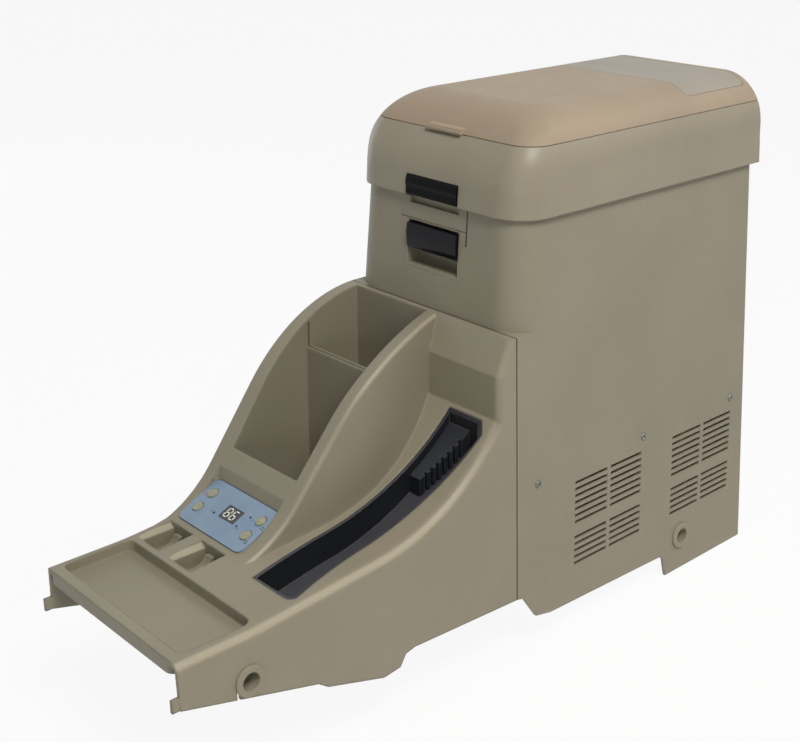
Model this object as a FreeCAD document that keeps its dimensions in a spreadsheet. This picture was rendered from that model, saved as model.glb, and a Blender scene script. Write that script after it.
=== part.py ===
"""Vehicle console refrigerator, modelled as separate named solids in one parametric document.

The origin is on the floor under the middle of the part. The low tray end faces -Y, the cooled box stands
at +Y, and the side that carries the brake well is +X.
"""
import FreeCAD, Part
import math
import os
import Sketcher
from FreeCAD import Placement, Rotation, Vector

SIZES = {
    # whole part
    "overall_length": 755.0,
    "lid_plane": 430.0,
    "wall_slope": 0.0468,
    "skin": 3.0,
    "running_gap": 0.05,
    "part_gap": 0.4,
    # lid and armrest
    "lid_width": 225.0,
    "lid_length": 356.5,
    "lid_height": 88.0,
    "lid_lean": 0.06,
    "lid_rear_lean": 0.03,
    "lid_overhang": 4.6,
    "lid_gap": 1.0,
    "lid_corner": 36.0,
    "lid_side_roll": 44.0,
    "lid_front_roll": 66.0,
    "lid_top_corner": 16.0,
    "lid_rear_edge": 4.0,
    "split_height": 62.0,
    "armrest_roof": 4.0,
    "armrest_tray_depth": 22.0,
    "armrest_tray_margin": 17.0,
    "finger_tab_width": 44.0,
    "finger_tab_reach": 4.0,
    "hinge_cover_width": 188.0,
    "hinge_cover_length": 103.0,
    "hinge_cover_skirt": 7.0,
    "hinge_cover_rim": 20.0,
    "hinge_cover_depth": 4.0,
    "grip_width": 67.0,
    "grip_height": 19.0,
    "grip_reach": 1.5,
    "inner_panel": 3.0,
    "plug_depth": 7.0,
    "gasket_width": 8.0,
    "gasket_height": 2.6,
    # console moulding
    "tab_reach": 7.0,
    "tab_height": 12.0,
    "collar_top": 327.0,
    "collar_ledge": 7.0,
    "bulkhead_depth": 23.0,
    "bulkhead_shoulder": 32.0,
    "front_left": 76.0,
    "flare_start": 106.0,
    "deck_front": 160.0,
    "ramp_start": 76.0,
    "ramp_slope": 0.08,
    "ramp_blend": 300.0,
    "sweep_radius": 200.0,
    "sweep_end": 68.206,
    "crest_radius": 180.0,
    "crest_angle": 50.0,
    "crest_setback": 7.2,
    "foot_radius": 110.0,
    "moulding_drop": 4.5,
    "shoulder_radius": 9.0,
    "ridge_radius": 4.5,
    "bulkhead_corner": 7.0,
    "rim_width": 18.0,
    "divider_width": 14.0,
    "divider_edge": 40.0,
    "divider_bend": 125.0,
    "divider_shift": 26.0,
    "divider_bow": 315.0,
    "bin_front": 184.0,
    "bin_rear": 7.0,
    "partition_place": 74.0,
    "partition_width": 8.0,
    "partition_top": 284.0,
    "front_bin_floor": 128.0,
    "rear_bin_floor": 180.0,
    "tray_rim": 11.0,
    "tray_length": 68.0,
    "tray_depth": 10.0,
    "tray_corner": 8.0,
    # underside line of the two mouldings
    "sill_nose": 120.0,
    "sill_joggle": 133.0,
    "sill_joggle_top": 83.0,
    "sill_joggle_low": 75.6,
    "sill_keel": 205.0,
    "sill_keel_low": 56.2,
    "sill_lift": 231.6,
    "sill_lift_low": 68.7,
    "sill_crown": 242.6,
    "sill_crown_top": 71.0,
    "sill_seam": 64.2,
    "sill_drop": 31.0,
    "sill_drop_low": 36.0,
    "sill_flat_low": 31.5,
    "foot_length": 140.7,
    "sill_foot": 26.0,
    "rear_arch_width": 190.0,
    # brake well
    "well_front": 116.5,
    "well_rear": 25.0,
    "well_front_left": 58.0,
    "well_front_right": 110.0,
    "well_rear_left": 54.0,
    "well_rear_right": 104.0,
    "well_corner": 8.0,
    "well_left_bow": 690.0,
    "well_right_bow": 424.0,
    "well_depth": 28.0,
    "well_wall": 2.5,
    "well_block_depth": 10.0,
    "well_block_length": 48.0,
    "well_block_front": 65.0,
    "well_block_rear": 85.0,
    "well_tooth": 2.4,
    "well_tooth_pitch": 5.0,
    "well_tooth_depth": 3.0,
    # coin pockets
    "coin_width": 31.0,
    "coin_length": 36.0,
    "coin_pitch": 49.5,
    "coin_middle": 27.0,
    "coin_place": 103.5,
    "coin_depth": 17.0,
    "cradle_width": 9.0,
    "cradle_shift": 10.0,
    "cradle_drop": 12.0,
    "cradle_thickness": 2.4,
    "cradle_rib": 1.0,
    "cradle_foot": 5.0,
    "cradle_rib_width": 2.0,
    "coin_lip": 4.5,
    # control panel
    "panel_middle": 24.0,
    "panel_place": 151.5,
    "panel_height": 177.6,
    "panel_tilt": 24.5,
    "panel_width": 95.0,
    "panel_length": 52.0,
    "panel_thickness": 2.0,
    "panel_corner": 7.0,
    "panel_pocket": 9.0,
    "panel_ledge": 4.0,
    "recess_back": 9.5,
    "button_radius": 5.5,
    "button_reach": 0.9,
    "button_side": 36.5,
    "button_upper": 10.5,
    "button_lower": 8.0,
    "display_width": 21.5,
    "display_length": 15.5,
    "display_offset": 3.0,
    "lamp_radius": 1.1,
    # fixing bushes and casing screws
    "bush_radius": 14.0,
    "bush_barrel": 10.5,
    "bush_well": 8.2,
    "bush_depth": 14.0,
    "bush_reach": 2.5,
    "bush_screw": 3.25,
    "bush_floor": 3.0,
    "front_bush_place": 65.0,
    "front_bush_height": 117.7,
    "rear_bush_place": 116.6,
    "rear_bush_height": 39.6,
    "screw_height": 176.0,
    "screw_head": 4.0,
    "screw_head_height": 1.6,
    "screw_shank": 2.0,
    "screw_inset": 28.3,
    # casing vents
    "vent_pitch": 7.05,
    "vent_slot": 3.6,
    "vent_length": 48.5,
    "vent_bar": 5.0,
    "vent_front": 290.5,
    "vent_rear": 137.0,
    "vent_top": 160.5,
    "vent_low": 101.5,
    # cooled box
    "rear_corner": 8.0,
    "rim_step": 5.0,
    "flange": 3.0,
    "cavity_width": 156.0,
    "cavity_length": 286.0,
    "cavity_floor": 200.0,
    "cavity_corner": 6.0,
    "plug_corner": 9.0,
    "liner_wall": 1.6,
    "coil_plate": 2.0,
    "coil_low": 226.0,
    "coil_top": 384.0,
    "floor_plate": 1.2,
    "floor_level": 168.0,
    "floor_flange": 15.0,
    # latch
    "latch_width": 87.6,
    "latch_plate_low": 395.0,
    "latch_low": 364.0,
    "latch_depth": 19.0,
    "paddle_width": 66.0,
    "paddle_top": 404.0,
    "paddle_low": 379.5,
    "paddle_reach": 3.2,
    "paddle_thickness": 4.2,
    "paddle_pivot": 399.0,
    "latch_pin_radius": 1.5,
    # hinges
    "hinge_reach": 4.0,
    "hinge_barrel": 3.4,
    "hinge_pin_radius": 1.5,
    "hinge_leaf": 2.6,
    "hinge_width": 196.0,
    "hinge_leaf_low": 390.0,
    "hinge_leaf_top": 424.0,
    "hinge_lid_low": 435.0,
    "hinge_lid_top": 462.0,
    "knuckle_outer": 62.0,
    "knuckle_inner": 25.0,
    "armrest_barrel": 3.0,
    "armrest_pin_radius": 1.2,
    "armrest_leaf_height": 12.0,
    # machine compartment
    "pan_level": 40.0,
    "pan_flange": 16.0,
    "pan_sheet": 1.5,
    "pan_length": 333.5,
    "compressor_radius": 50.0,
    "compressor_height": 104.0,
    "compressor_right": 34.0,
    "compressor_inset": 87.5,
    "compressor_foot": 12.0,
    "foot_radius_rubber": 8.0,
    "foot_spread": 38.0,
    "condenser_width": 150.0,
    "condenser_depth": 26.0,
    "condenser_height": 96.0,
    "condenser_setback": 16.0,
    "fin_thickness": 1.2,
    "fan_size": 104.0,
    "fan_depth": 26.0,
    "fan_duct": 47.0,
    "fan_hub": 17.0,
    "fan_blade_tip": 44.5,
    "fan_shaft": 1.5,
    "pipe_radius": 3.0,
    "drier_radius": 9.0,
    "drier_length": 62.0,
    "module_width": 62.0,
    "module_length": 84.0,
    "module_height": 38.0,
}

doc = FreeCAD.newDocument("console_refrigerator")
sheet = doc.addObject("Spreadsheet::Sheet", "Sizes")
for row, (alias, number) in enumerate(SIZES.items(), 1):
    sheet.set("A%d" % row, alias)
    sheet.set("B%d" % row, str(number))
    sheet.setAlias("B%d" % row, alias)
doc.recompute()


class Size:
    """A number from the sheet together with the expression that gives it, so that sums stay bound."""

    def __init__(self, value, text):
        self.value = float(value)
        self.text = text

    def __add__(self, other):
        other = as_size(other)
        return Size(self.value + other.value, "(%s + %s)" % (self.text, other.text))

    def __radd__(self, other):
        return as_size(other) + self

    def __sub__(self, other):
        other = as_size(other)
        return Size(self.value - other.value, "(%s - %s)" % (self.text, other.text))

    def __rsub__(self, other):
        return as_size(other) - self

    def __mul__(self, other):
        other = as_size(other)
        return Size(self.value * other.value, "(%s * %s)" % (self.text, other.text))

    def __rmul__(self, other):
        return as_size(other) * self

    def __truediv__(self, other):
        other = as_size(other)
        return Size(self.value / other.value, "(%s / %s)" % (self.text, other.text))

    def __rtruediv__(self, other):
        return as_size(other) / self

    def __neg__(self):
        return Size(-self.value, "(0 - %s)" % self.text)


def as_size(number):
    if isinstance(number, Size):
        return number
    return Size(number, "(%r)" % float(number))


def square_root(size):
    return Size(math.sqrt(size.value), "sqrt(%s)" % size.text)


def sine(angle):
    return Size(math.sin(math.radians(angle.value)), "sin(%s)" % angle.text)


def cosine(angle):
    return Size(math.cos(math.radians(angle.value)), "cos(%s)" % angle.text)


class Named:
    """Gives each alias of the sheet as a Size."""

    def __getattr__(self, alias):
        return Size(sheet.get(alias), "Sizes.%s" % alias)


s = Named()
none = as_size(0)


def bind(thing, prop, size):
    thing.setExpression(prop, as_size(size).text)


# Basic features

PLANES = {
    "xy": (Rotation(), "z", Vector(0, 0, 1)),
    "yz": (Rotation(Vector(1, 1, 1), 120), "x", Vector(1, 0, 0)),
    "xz": (Rotation(Vector(1, 0, 0), 90), "y", Vector(0, 1, 0)),
}
AXES = {
    "x": Rotation(Vector(0, 1, 0), 90),
    "y": Rotation(Vector(1, 0, 0), -90),
    "z": Rotation(),
}


def arc_between(start, end, radius, side):
    """Arc of a given radius from start to end, bulging to the left (+1) or right (-1) of that way."""
    middle = (start + end) * 0.5
    along = end - start
    half = along.Length / 2
    left = Vector(-along.y, along.x, 0).normalize()
    centre = middle - left * (side * math.sqrt(max(radius * radius - half * half, 0.0)))
    first, last = (end, start) if side > 0 else (start, end)
    first_angle = math.atan2(first.y - centre.y, first.x - centre.x)
    last_angle = math.atan2(last.y - centre.y, last.x - centre.x)
    return Part.ArcOfCircle(Part.Circle(centre, Vector(0, 0, 1), radius), first_angle, last_angle)


def draw(sketch, corners):
    """Closed outline in a sketch. A corner is (u, v), or (u, v, radius, side) where an arc starts."""
    points = [(as_size(corner[0]), as_size(corner[1])) for corner in corners]
    flat = [Vector(u.value, v.value, 0) for u, v in points]
    first = sketch.GeometryCount
    shapes = []
    ends = []
    for place, corner in enumerate(corners):
        here = flat[place]
        there = flat[(place + 1) % len(flat)]
        if len(corner) == 2:
            shapes.append(Part.LineSegment(here, there))
            ends.append((1, 2))
        else:
            shapes.append(arc_between(here, there, as_size(corner[2]).value, corner[3]))
            ends.append((2, 1) if corner[3] > 0 else (1, 2))
    sketch.addGeometry(shapes, False)
    rules = []
    texts = []
    count = sketch.ConstraintCount
    for place, corner in enumerate(corners):
        after = (place + 1) % len(corners)
        u, v = points[place]
        rules.append(Sketcher.Constraint("DistanceX", -1, 1, first + place, ends[place][0], u.value))
        texts.append(u.text)
        rules.append(Sketcher.Constraint("DistanceY", -1, 1, first + place, ends[place][0], v.value))
        texts.append(v.text)
        rules.append(Sketcher.Constraint("Coincident", first + place, ends[place][1],
                                         first + after, ends[after][0]))
        texts.append(None)
        if len(corner) > 2:
            radius = as_size(corner[2])
            rules.append(Sketcher.Constraint("Radius", first + place, radius.value))
            texts.append(radius.text)
    sketch.addConstraint(rules)
    for place, text in enumerate(texts):
        if text is not None:
            sketch.setExpression("Constraints[%d]" % (count + place), text)


def outline(name, plane, place, corners):
    sketch = doc.addObject("Sketcher::SketchObject", name)
    turn, axis, way = PLANES[plane]
    sketch.Placement = Placement(Vector(), turn)
    bind(sketch, "Placement.Base." + axis, place)
    draw(sketch, corners)
    return sketch


def prism(name, plane, corners, start, end):
    """Outline drawn on a row plane at start and extruded square to it up to end."""
    sketch = outline(name + "_outline", plane, start, corners)
    solid = doc.addObject("Part::Extrusion", name)
    solid.Base = sketch
    solid.DirMode = "Custom"
    solid.Dir = PLANES[plane][2]
    solid.Solid = True
    bind(solid, "LengthFwd", end - start)
    return solid


def round_rect(left, right, low, high, radius):
    return [(left + radius, low), (right - radius, low, radius, -1),
            (right, low + radius), (right, high - radius, radius, -1),
            (right - radius, high), (left + radius, high, radius, -1),
            (left, high - radius), (left, low + radius, radius, -1)]


def box(name, x, y, z):
    solid = doc.addObject("Part::Box", name)
    for prop, axis, (low, high) in (("Length", "x", x), ("Width", "y", y), ("Height", "z", z)):
        bind(solid, prop, as_size(high) - low)
        bind(solid, "Placement.Base." + axis, low)
    return solid


def cylinder(name, axis, radius, place, length):
    """Round bar from place along a row axis."""
    solid = doc.addObject("Part::Cylinder", name)
    solid.Placement = Placement(Vector(), AXES[axis])
    bind(solid, "Radius", radius)
    bind(solid, "Height", length)
    for letter, size in zip("xyz", place):
        bind(solid, "Placement.Base." + letter, size)
    return solid


def wedge(name, low, high, low_x, low_y, high_x, high_y):
    """Block whose four sides lean, from its plan at the low level to its plan at the high level."""
    solid = doc.addObject("Part::Wedge", name)
    solid.Placement = Placement(Vector(), Rotation(Vector(1, 0, 0), 90))
    values = {"Ymin": low, "Ymax": high,
              "Xmin": low_x[0], "Xmax": low_x[1], "X2min": high_x[0], "X2max": high_x[1],
              "Zmin": -as_size(low_y[1]), "Zmax": -as_size(low_y[0]),
              "Z2min": -as_size(high_y[1]), "Z2max": -as_size(high_y[0])}
    for prop, size in values.items():
        bind(solid, prop, size)
    return solid


def fuse(name, *pieces):
    solid = doc.addObject("Part::MultiFuse", name)
    solid.Shapes = list(pieces)
    solid.Refine = True
    return solid


def common(name, *pieces):
    solid = doc.addObject("Part::MultiCommon", name)
    solid.Shapes = list(pieces)
    return solid


def cut(name, base, *tools):
    solid = base
    for number, tool in enumerate(tools):
        step = doc.addObject("Part::Cut", "%s_cut_%d" % (name, number))
        step.Base = solid
        step.Tool = tool
        solid = step
    return solid


def group(name, *pieces):
    solid = doc.addObject("Part::Compound", name)
    solid.Links = list(pieces)
    return solid


def fillet(name, base, radius, wanted):
    """Rounds the edges whose middle point passes the test, which must find at least one."""
    doc.recompute()
    chosen = []
    for number, edge in enumerate(base.Shape.Edges, 1):
        middle = edge.valueAt((edge.FirstParameter + edge.LastParameter) / 2)
        if wanted(middle, edge):
            chosen.append((number, as_size(radius).value, as_size(radius).value))
    if not chosen:
        raise RuntimeError("no edge to round for " + name)
    solid = doc.addObject("Part::Fillet", name)
    solid.Base = base
    solid.Edges = chosen
    doc.recompute()
    return solid


NODES = []


def node(thing, label):
    thing.Label = label
    NODES.append(thing)
    return thing


def plane_of(body, role):
    return next(item for item in body.Origin.OriginFeatures if item.Role == role)


def body_sketch(body, name, role, corners, place=None):
    sketch = body.newObject("Sketcher::SketchObject", name)
    sketch.AttachmentSupport = [(plane_of(body, role), "")]
    sketch.MapMode = "FlatFace"
    if place is not None:
        bind(sketch, "AttachmentOffset.Base.z", place)
    draw(sketch, corners)
    return sketch


def turned(label, corners):
    """Body of revolution about its own Z axis. Corners are (radius, height)."""
    body = doc.addObject("PartDesign::Body", label + "_body")
    sketch = body_sketch(body, label + "_profile", "XZ_Plane", corners)
    turn = body.newObject("PartDesign::Revolution", label + "_turn")
    turn.Profile = sketch
    turn.ReferenceAxis = (sketch, ["V_Axis"])
    turn.Angle = 360
    body.Tip = turn
    return body


def padded_body(label, role, corners, length, place=None, middle=False):
    """Body with one padded outline, from the plane outwards or to both sides of it."""
    body = doc.addObject("PartDesign::Body", label + "_body")
    sketch = body_sketch(body, label + "_profile", role, corners, place)
    pad = body.newObject("PartDesign::Pad", label + "_pad")
    pad.Profile = sketch
    bind(pad, "Length", length)
    if middle:
        pad.SideType = "Symmetric"
    body.Tip = pad
    return body


def put(thing, place, turn=None):
    """Gives a piece its place in the shared frame, bound to the sheet."""
    if turn is not None:
        thing.Placement = Placement(Vector(), turn)
    for letter, size in zip("xyz", place):
        bind(thing, "Placement.Base." + letter, size)
    return thing


# Main lines of the part

lid_plane = s.lid_plane
rear_floor = s.overall_length / 2
rear_top = rear_floor - s.wall_slope * lid_plane
lid_rear = rear_top + s.lid_overhang
lid_front = lid_rear - s.lid_length
front_top = lid_front + s.lid_overhang
half_top = s.lid_width / 2 - s.lid_overhang
nose = s.tab_reach - s.overall_length / 2
lid_top = lid_plane + s.lid_height
split = lid_plane + s.split_height
rim = lid_plane - s.lid_gap
tilt = math.degrees(math.atan(s.wall_slope.value))


def half_at(level):
    return half_top + s.wall_slope * (lid_plane - level)


def front_at(level):
    return front_top - s.wall_slope * (lid_plane - level)


def rear_at(level):
    return rear_top + s.wall_slope * (lid_plane - level)


seam = front_at(s.collar_top)


def casing_wedge(name, low, high, inset, front=None):
    """Tapered block of the casing between two levels, drawn in by inset. A front gives it an upright face."""
    def plan(level):
        start = front if front is not None else front_at(level) + inset
        return (inset - half_at(level), half_at(level) - inset), (start, rear_at(level) - inset)
    low_x, low_y = plan(as_size(low))
    high_x, high_y = plan(as_size(high))
    return wedge(name, low, high, low_x, low_y, high_x, high_y)


def upright(edge):
    ends = edge.Vertexes
    return len(ends) == 2 and abs(ends[0].Z - ends[1].Z) > 0.8 * edge.Length


def front_upright(middle, edge):
    return upright(edge) and middle.y < 100


def rear_upright(middle, edge):
    return upright(edge) and middle.y > 100


# Underside line, shared by console and casing

below = as_size(-20)
sill_corners = [
    (nose - 30, below),
    (rear_floor - s.foot_length, below),
    (rear_floor - s.foot_length, as_size(0)),
    (rear_floor - s.foot_length - 5, s.sill_foot - 5),
    (rear_floor - s.foot_length - 11, s.sill_foot),
    (seam + s.sill_drop + 16, s.sill_flat_low),
    (seam + s.sill_drop - 5, s.sill_drop_low),
    (seam + 8, s.sill_seam - 2),
    (seam, s.sill_seam),
    (nose + s.sill_crown, s.sill_crown_top),
    (nose + s.sill_lift, s.sill_lift_low),
    (nose + s.sill_lift - 7, s.sill_keel_low + 2),
    (nose + s.sill_keel, s.sill_keel_low),
    (nose + s.sill_joggle + 10, s.sill_joggle_low),
    (nose + s.sill_joggle, s.sill_joggle_top),
    (nose, s.sill_nose),
    (nose - 30, s.sill_nose),
]
reach = half_at(as_size(0)) + 20
underside = prism("underside", "yz", sill_corners, -reach, reach)

# Rear casing: drafted shell, upright at the seam below the collar and rounded above it

lower = fillet("casing_lower", casing_wedge("casing_lower_block", 0, s.collar_top, 0, seam),
               s.rear_corner, rear_upright)
upper = fillet("casing_upper_front", casing_wedge("casing_upper_block", s.collar_top, rim, 0),
               s.lid_corner - s.lid_overhang, front_upright)
upper = fillet("casing_upper", upper, s.rear_corner, rear_upright)
inside_low = fillet("casing_inside_low",
                    casing_wedge("casing_inside_low_block", -30, s.collar_top - s.skin, s.skin,
                                 seam + s.skin),
                    s.rear_corner - s.skin, rear_upright)
inside_high = fillet("casing_inside_front",
                     casing_wedge("casing_inside_block", s.collar_top - s.skin - 2, lid_plane, s.skin),
                     s.lid_corner - s.lid_overhang - s.skin, front_upright)
inside_high = fillet("casing_inside_high", inside_high, s.rear_corner - s.skin, rear_upright)

slots = []
for block, (inset, top, rows) in enumerate(((s.vent_front, s.vent_top, 7), (s.vent_front, s.vent_low, 5),
                                            (s.vent_rear, s.vent_top, 7), (s.vent_rear, s.vent_low, 5))):
    for column in range(2):
        for number in range(rows):
            left = rear_floor - inset + column * (s.vent_length + s.vent_bar)
            high = top - s.vent_pitch * number
            slots.append(box("vent_%d_%d_%d" % (block, column, number), (-reach, reach),
                             (left, left + s.vent_length), (high - s.vent_slot, high)))
vents = group("vents", *slots)

latch_half = s.latch_width / 2
paddle_half = s.paddle_width / 2
pocket_half = paddle_half + s.part_gap
latch_back = front_at(s.latch_plate_low) + s.latch_depth
latch_window = fuse("latch_window",
                    box("latch_window_top", (-latch_half, latch_half), (seam - 5, latch_back),
                        (s.latch_plate_low, lid_plane + 5)),
                    box("latch_window_low", (-pocket_half - s.skin, pocket_half + s.skin),
                        (seam - 5, latch_back), (s.latch_low - s.skin, s.latch_plate_low)))
rear_arch = box("rear_arch", (-s.rear_arch_width / 2, s.rear_arch_width / 2),
                (rear_floor - s.foot_length, rear_floor + 10), (-5, s.sill_foot))


def side_frame(side, y, level):
    """Placement on the drafted side wall, with local Z along the wall's outward normal."""
    turn = Rotation(Vector(0, 1, 0), side * (90 - tilt))
    return (side * half_at(level), as_size(y), as_size(level)), turn


wall_cosine = 1 / square_root(1 + s.wall_slope * s.wall_slope)


def sunk(place, side, depth):
    """Point at a depth below a place on the side wall, along the wall's normal."""
    return (place[0] - side * depth * wall_cosine, place[1],
            place[2] - depth * s.wall_slope * wall_cosine)


front_bush_y = nose + s.front_bush_place
rear_bush_y = rear_floor - s.rear_bush_place
screw_y = [seam + s.screw_inset, (seam + rear_floor) / 2, rear_at(s.screw_height) - s.screw_inset]


def left_at(level):
    """Distance of the narrow left front wall from the middle plane."""
    return s.front_left + s.wall_slope * (s.deck_front - level)


casing_holes = []
console_holes = []
for side, word in ((1, "right"), (-1, "left")):
    place, turn = side_frame(side, rear_bush_y, s.rear_bush_height)
    hole = cylinder("rear_bush_hole_" + word, "z", s.bush_barrel + s.part_gap, place, 20)
    hole.Placement = Placement(Vector(), turn)
    casing_holes.append(put(hole, sunk(place, side, 10)))
    for number, y in enumerate(screw_y):
        place, turn = side_frame(side, y, s.screw_height)
        hole = cylinder("screw_hole_%s_%d" % (word, number), "z", s.screw_shank + s.running_gap, place, 12)
        hole.Placement = Placement(Vector(), turn)
        casing_holes.append(put(hole, sunk(place, side, 6)))
    if side > 0:
        place, turn = side_frame(side, front_bush_y, s.front_bush_height)
    else:
        place = (-left_at(s.front_bush_height), front_bush_y, s.front_bush_height)
    hole = cylinder("front_bush_hole_" + word, "z", s.bush_barrel + s.part_gap, place, 20)
    hole.Placement = Placement(Vector(), turn)
    console_holes.append(put(hole, sunk(place, side, 10)))
    console_holes.append(box("front_slit_" + word, tuple(sorted((place[0] - side * 8, place[0] + side * 8),
                                                                key=lambda size: size.value)),
                             (front_bush_y - 13, front_bush_y - 10), (s.sill_nose - 40, s.sill_nose - 5)))

casing_outer = fuse("casing_outer", lower, upper)
casing = cut("casing", casing_outer, inside_low, inside_high, underside, rear_arch, vents, latch_window,
             group("casing_holes", *casing_holes))
node(casing, "rear_casing")

# Console moulding

crest_y = seam - s.crest_setback
crest_end_y = crest_y - s.crest_radius * sine(s.crest_angle)
crest_end_z = s.collar_top - s.crest_radius * (1 - cosine(s.crest_angle))
foot_start_z = s.deck_front + s.foot_radius * (1 - cosine(s.crest_angle))
foot_start_y = crest_end_y - (crest_end_z - foot_start_z) * cosine(s.crest_angle) / sine(s.crest_angle)
foot_end_y = foot_start_y - s.foot_radius * sine(s.crest_angle)
ramp_y = nose + s.ramp_start
ramp_cosine = 1 / square_root(1 + s.ramp_slope * s.ramp_slope)
ramp_end_y = seam - s.sweep_radius * (sine(s.sweep_end) - s.ramp_slope * ramp_cosine)
ramp_end_z = s.deck_front + s.ramp_slope * (ramp_end_y - ramp_y)
sweep_y = ramp_end_y - s.sweep_radius * s.ramp_slope * ramp_cosine
sweep_z = ramp_end_z + s.sweep_radius * ramp_cosine
blend_run = s.ramp_blend * (1 / ramp_cosine - 1) / s.ramp_slope
blend_end_y = ramp_y + blend_run * ramp_cosine
blend_end_z = s.deck_front + blend_run * ramp_cosine * s.ramp_slope
bulkhead = seam - s.bulkhead_depth


def sweep_at(y):
    return sweep_z - square_root(s.sweep_radius * s.sweep_radius - (y - sweep_y) * (y - sweep_y))


def crest_corners(drop, rear, front):
    """Side view of the left section: collar, crest, straight fall, foot and flat front."""
    return [(rear, as_size(0)), (rear, s.collar_top - drop),
            (crest_y, s.collar_top - drop, s.crest_radius, -1),
            (crest_end_y, crest_end_z - drop),
            (foot_start_y, foot_start_z - drop, s.foot_radius, 1),
            (foot_end_y, s.deck_front - drop), (front, s.deck_front - drop), (front, as_size(0))]


def deck_line(drop, face, front):
    """Upper line of the deck from the bulkhead face to the front, as sketch corners."""
    return [(face, sweep_at(face) - drop, s.sweep_radius, 1),
            (ramp_end_y, ramp_end_z - drop), (blend_end_y, blend_end_z - drop, s.ramp_blend, 1),
            (ramp_y - blend_run, s.deck_front - drop), (front, s.deck_front - drop)]


def deck_corners(drop, rear, front):
    """Side view of the right section: swept deck, ramp and flat front."""
    return [(rear, as_size(0))] + deck_line(drop, rear, front) + [(front, as_size(0))]


def bulkhead_corners(drop, rear, face):
    """Side view of the bulkhead that rises from the deck, with its sloped shoulder up to the collar."""
    return [(rear, as_size(0)), (rear, s.collar_top - drop),
            (face + s.bulkhead_depth - s.collar_ledge, s.collar_top - drop),
            (face, s.collar_top - s.bulkhead_shoulder - drop), (face, as_size(0))]


def left_section_corners(inset, rear, front):
    """Plan of the left section up to the curved divider, drawn in by inset at the divider."""
    edge = s.divider_edge - inset
    return [(-reach, front), (edge, front), (edge, seam - s.divider_bend, s.divider_bow, -1),
            (edge - s.divider_shift, seam), (edge - s.divider_shift, rear), (-reach, rear)]


def faced_block(name, low, low_plan, high, high_plan):
    """Block with flat faces between two plans of as many corners, where a loft would give freeform ones."""
    bottom = [Vector(as_size(u).value, as_size(v).value, as_size(low).value) for u, v in low_plan]
    top = [Vector(as_size(u).value, as_size(v).value, as_size(high).value) for u, v in high_plan]
    loops = [bottom[::-1], top]
    for place in range(len(bottom)):
        after = (place + 1) % len(bottom)
        loops.append([bottom[place], bottom[after], top[after], top[place]])
    faces = [Part.Face(Part.makePolygon(loop + loop[:1])) for loop in loops]
    solid = doc.addObject("Part::Feature", name)
    solid.Shape = Part.Solid(Part.Shell(faces))
    return solid


def footprint(name, inset, rear, front):
    """Drafted plan of the console: straight right side, left side flaring out towards the casing."""
    bend = nose + s.flare_start

    def plan(level):
        right = half_at(level) - inset
        left = inset - left_at(level)
        return [(right, front), (right, rear), (-right, rear), (left, bend), (left, front)]
    low = as_size(-10)
    high = s.collar_top + 20
    return faced_block(name, low, plan(low), high, plan(high))


open_front = nose - 40
left_block = common("left_block",
                    prism("left_profile", "yz", crest_corners(none, seam, nose), -reach, reach),
                    prism("left_plan", "xy", left_section_corners(none, seam + 5, nose - 5), 0, 400))


def ridge(middle, edge):
    along_divider = middle.x > (s.divider_edge - s.divider_shift).value - 1
    return along_divider and not upright(edge) and middle.z > s.deck_front.value + 5 and middle.y < seam.value - 1


left_block = fillet("left_ridge", left_block, s.ridge_radius, ridge)
bulkhead_block = prism("bulkhead_block", "yz", bulkhead_corners(none, seam, bulkhead), -reach, reach)
deck_block = prism("deck_block", "yz", deck_corners(none, seam, nose), -reach, reach)
console_plan = footprint("console_plan", none, seam, nose)
deck_mass = common("deck_mass", deck_block, console_plan)


def right_shoulder(middle, edge):
    on_side = abs(middle.x - half_at(as_size(middle.z)).value) < 0.05
    return on_side and not upright(edge) and middle.z > s.deck_front.value - 1


deck_round = fillet("deck_round", deck_mass, s.shoulder_radius, right_shoulder)


def bulkhead_edge(middle, edge):
    on_side = abs(middle.x - half_at(as_size(middle.z)).value) < 0.05
    return on_side and middle.y < (seam - s.collar_ledge).value - 1 and middle.z > s.skin.value


bulkhead_mass = fillet("bulkhead_round", common("bulkhead_mass", bulkhead_block, console_plan), s.bulkhead_corner,
                       bulkhead_edge)
tall_mass = fuse("tall_mass", common("left_mass", left_block, console_plan), bulkhead_mass)
console_mass = fuse("console_mass", deck_mass, tall_mass)
console_round = fuse("console_round", deck_round, tall_mass)

drop = s.moulding_drop
left_void = common("left_void",
                   prism("left_void_profile", "yz", crest_corners(drop, seam - s.skin, open_front),
                         -reach, reach),
                   prism("left_void_plan", "xy", left_section_corners(s.skin, seam + 5, open_front), 0, 400))
deck_void = prism("deck_void", "yz", deck_corners(drop, seam - s.skin, open_front), -reach, reach)
bulkhead_void = prism("bulkhead_void", "yz",
                      bulkhead_corners(drop, seam - s.skin, bulkhead + s.skin), -reach, reach)
console_void = common("console_void", fuse("void_stack", left_void, deck_void, bulkhead_void),
                      footprint("void_plan", s.skin, seam - s.skin, open_front))

# Bins, tray, coin pockets and control recess: each is a tub with walls and a floor of its own

bin_front = seam - s.bin_front
bin_rear = seam - s.bin_rear
partition_rear = seam - s.partition_place
partition_front = partition_rear - s.partition_width
flare_y = nose + s.flare_start


def bin_left(y, inset):
    """Inner face of the wide left rim."""
    level = s.deck_front + 80
    near = s.rim_width - left_at(level)
    far = s.rim_width - half_at(level)
    return near + (far - near) * (y - flare_y) / (seam - flare_y) - inset


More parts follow.
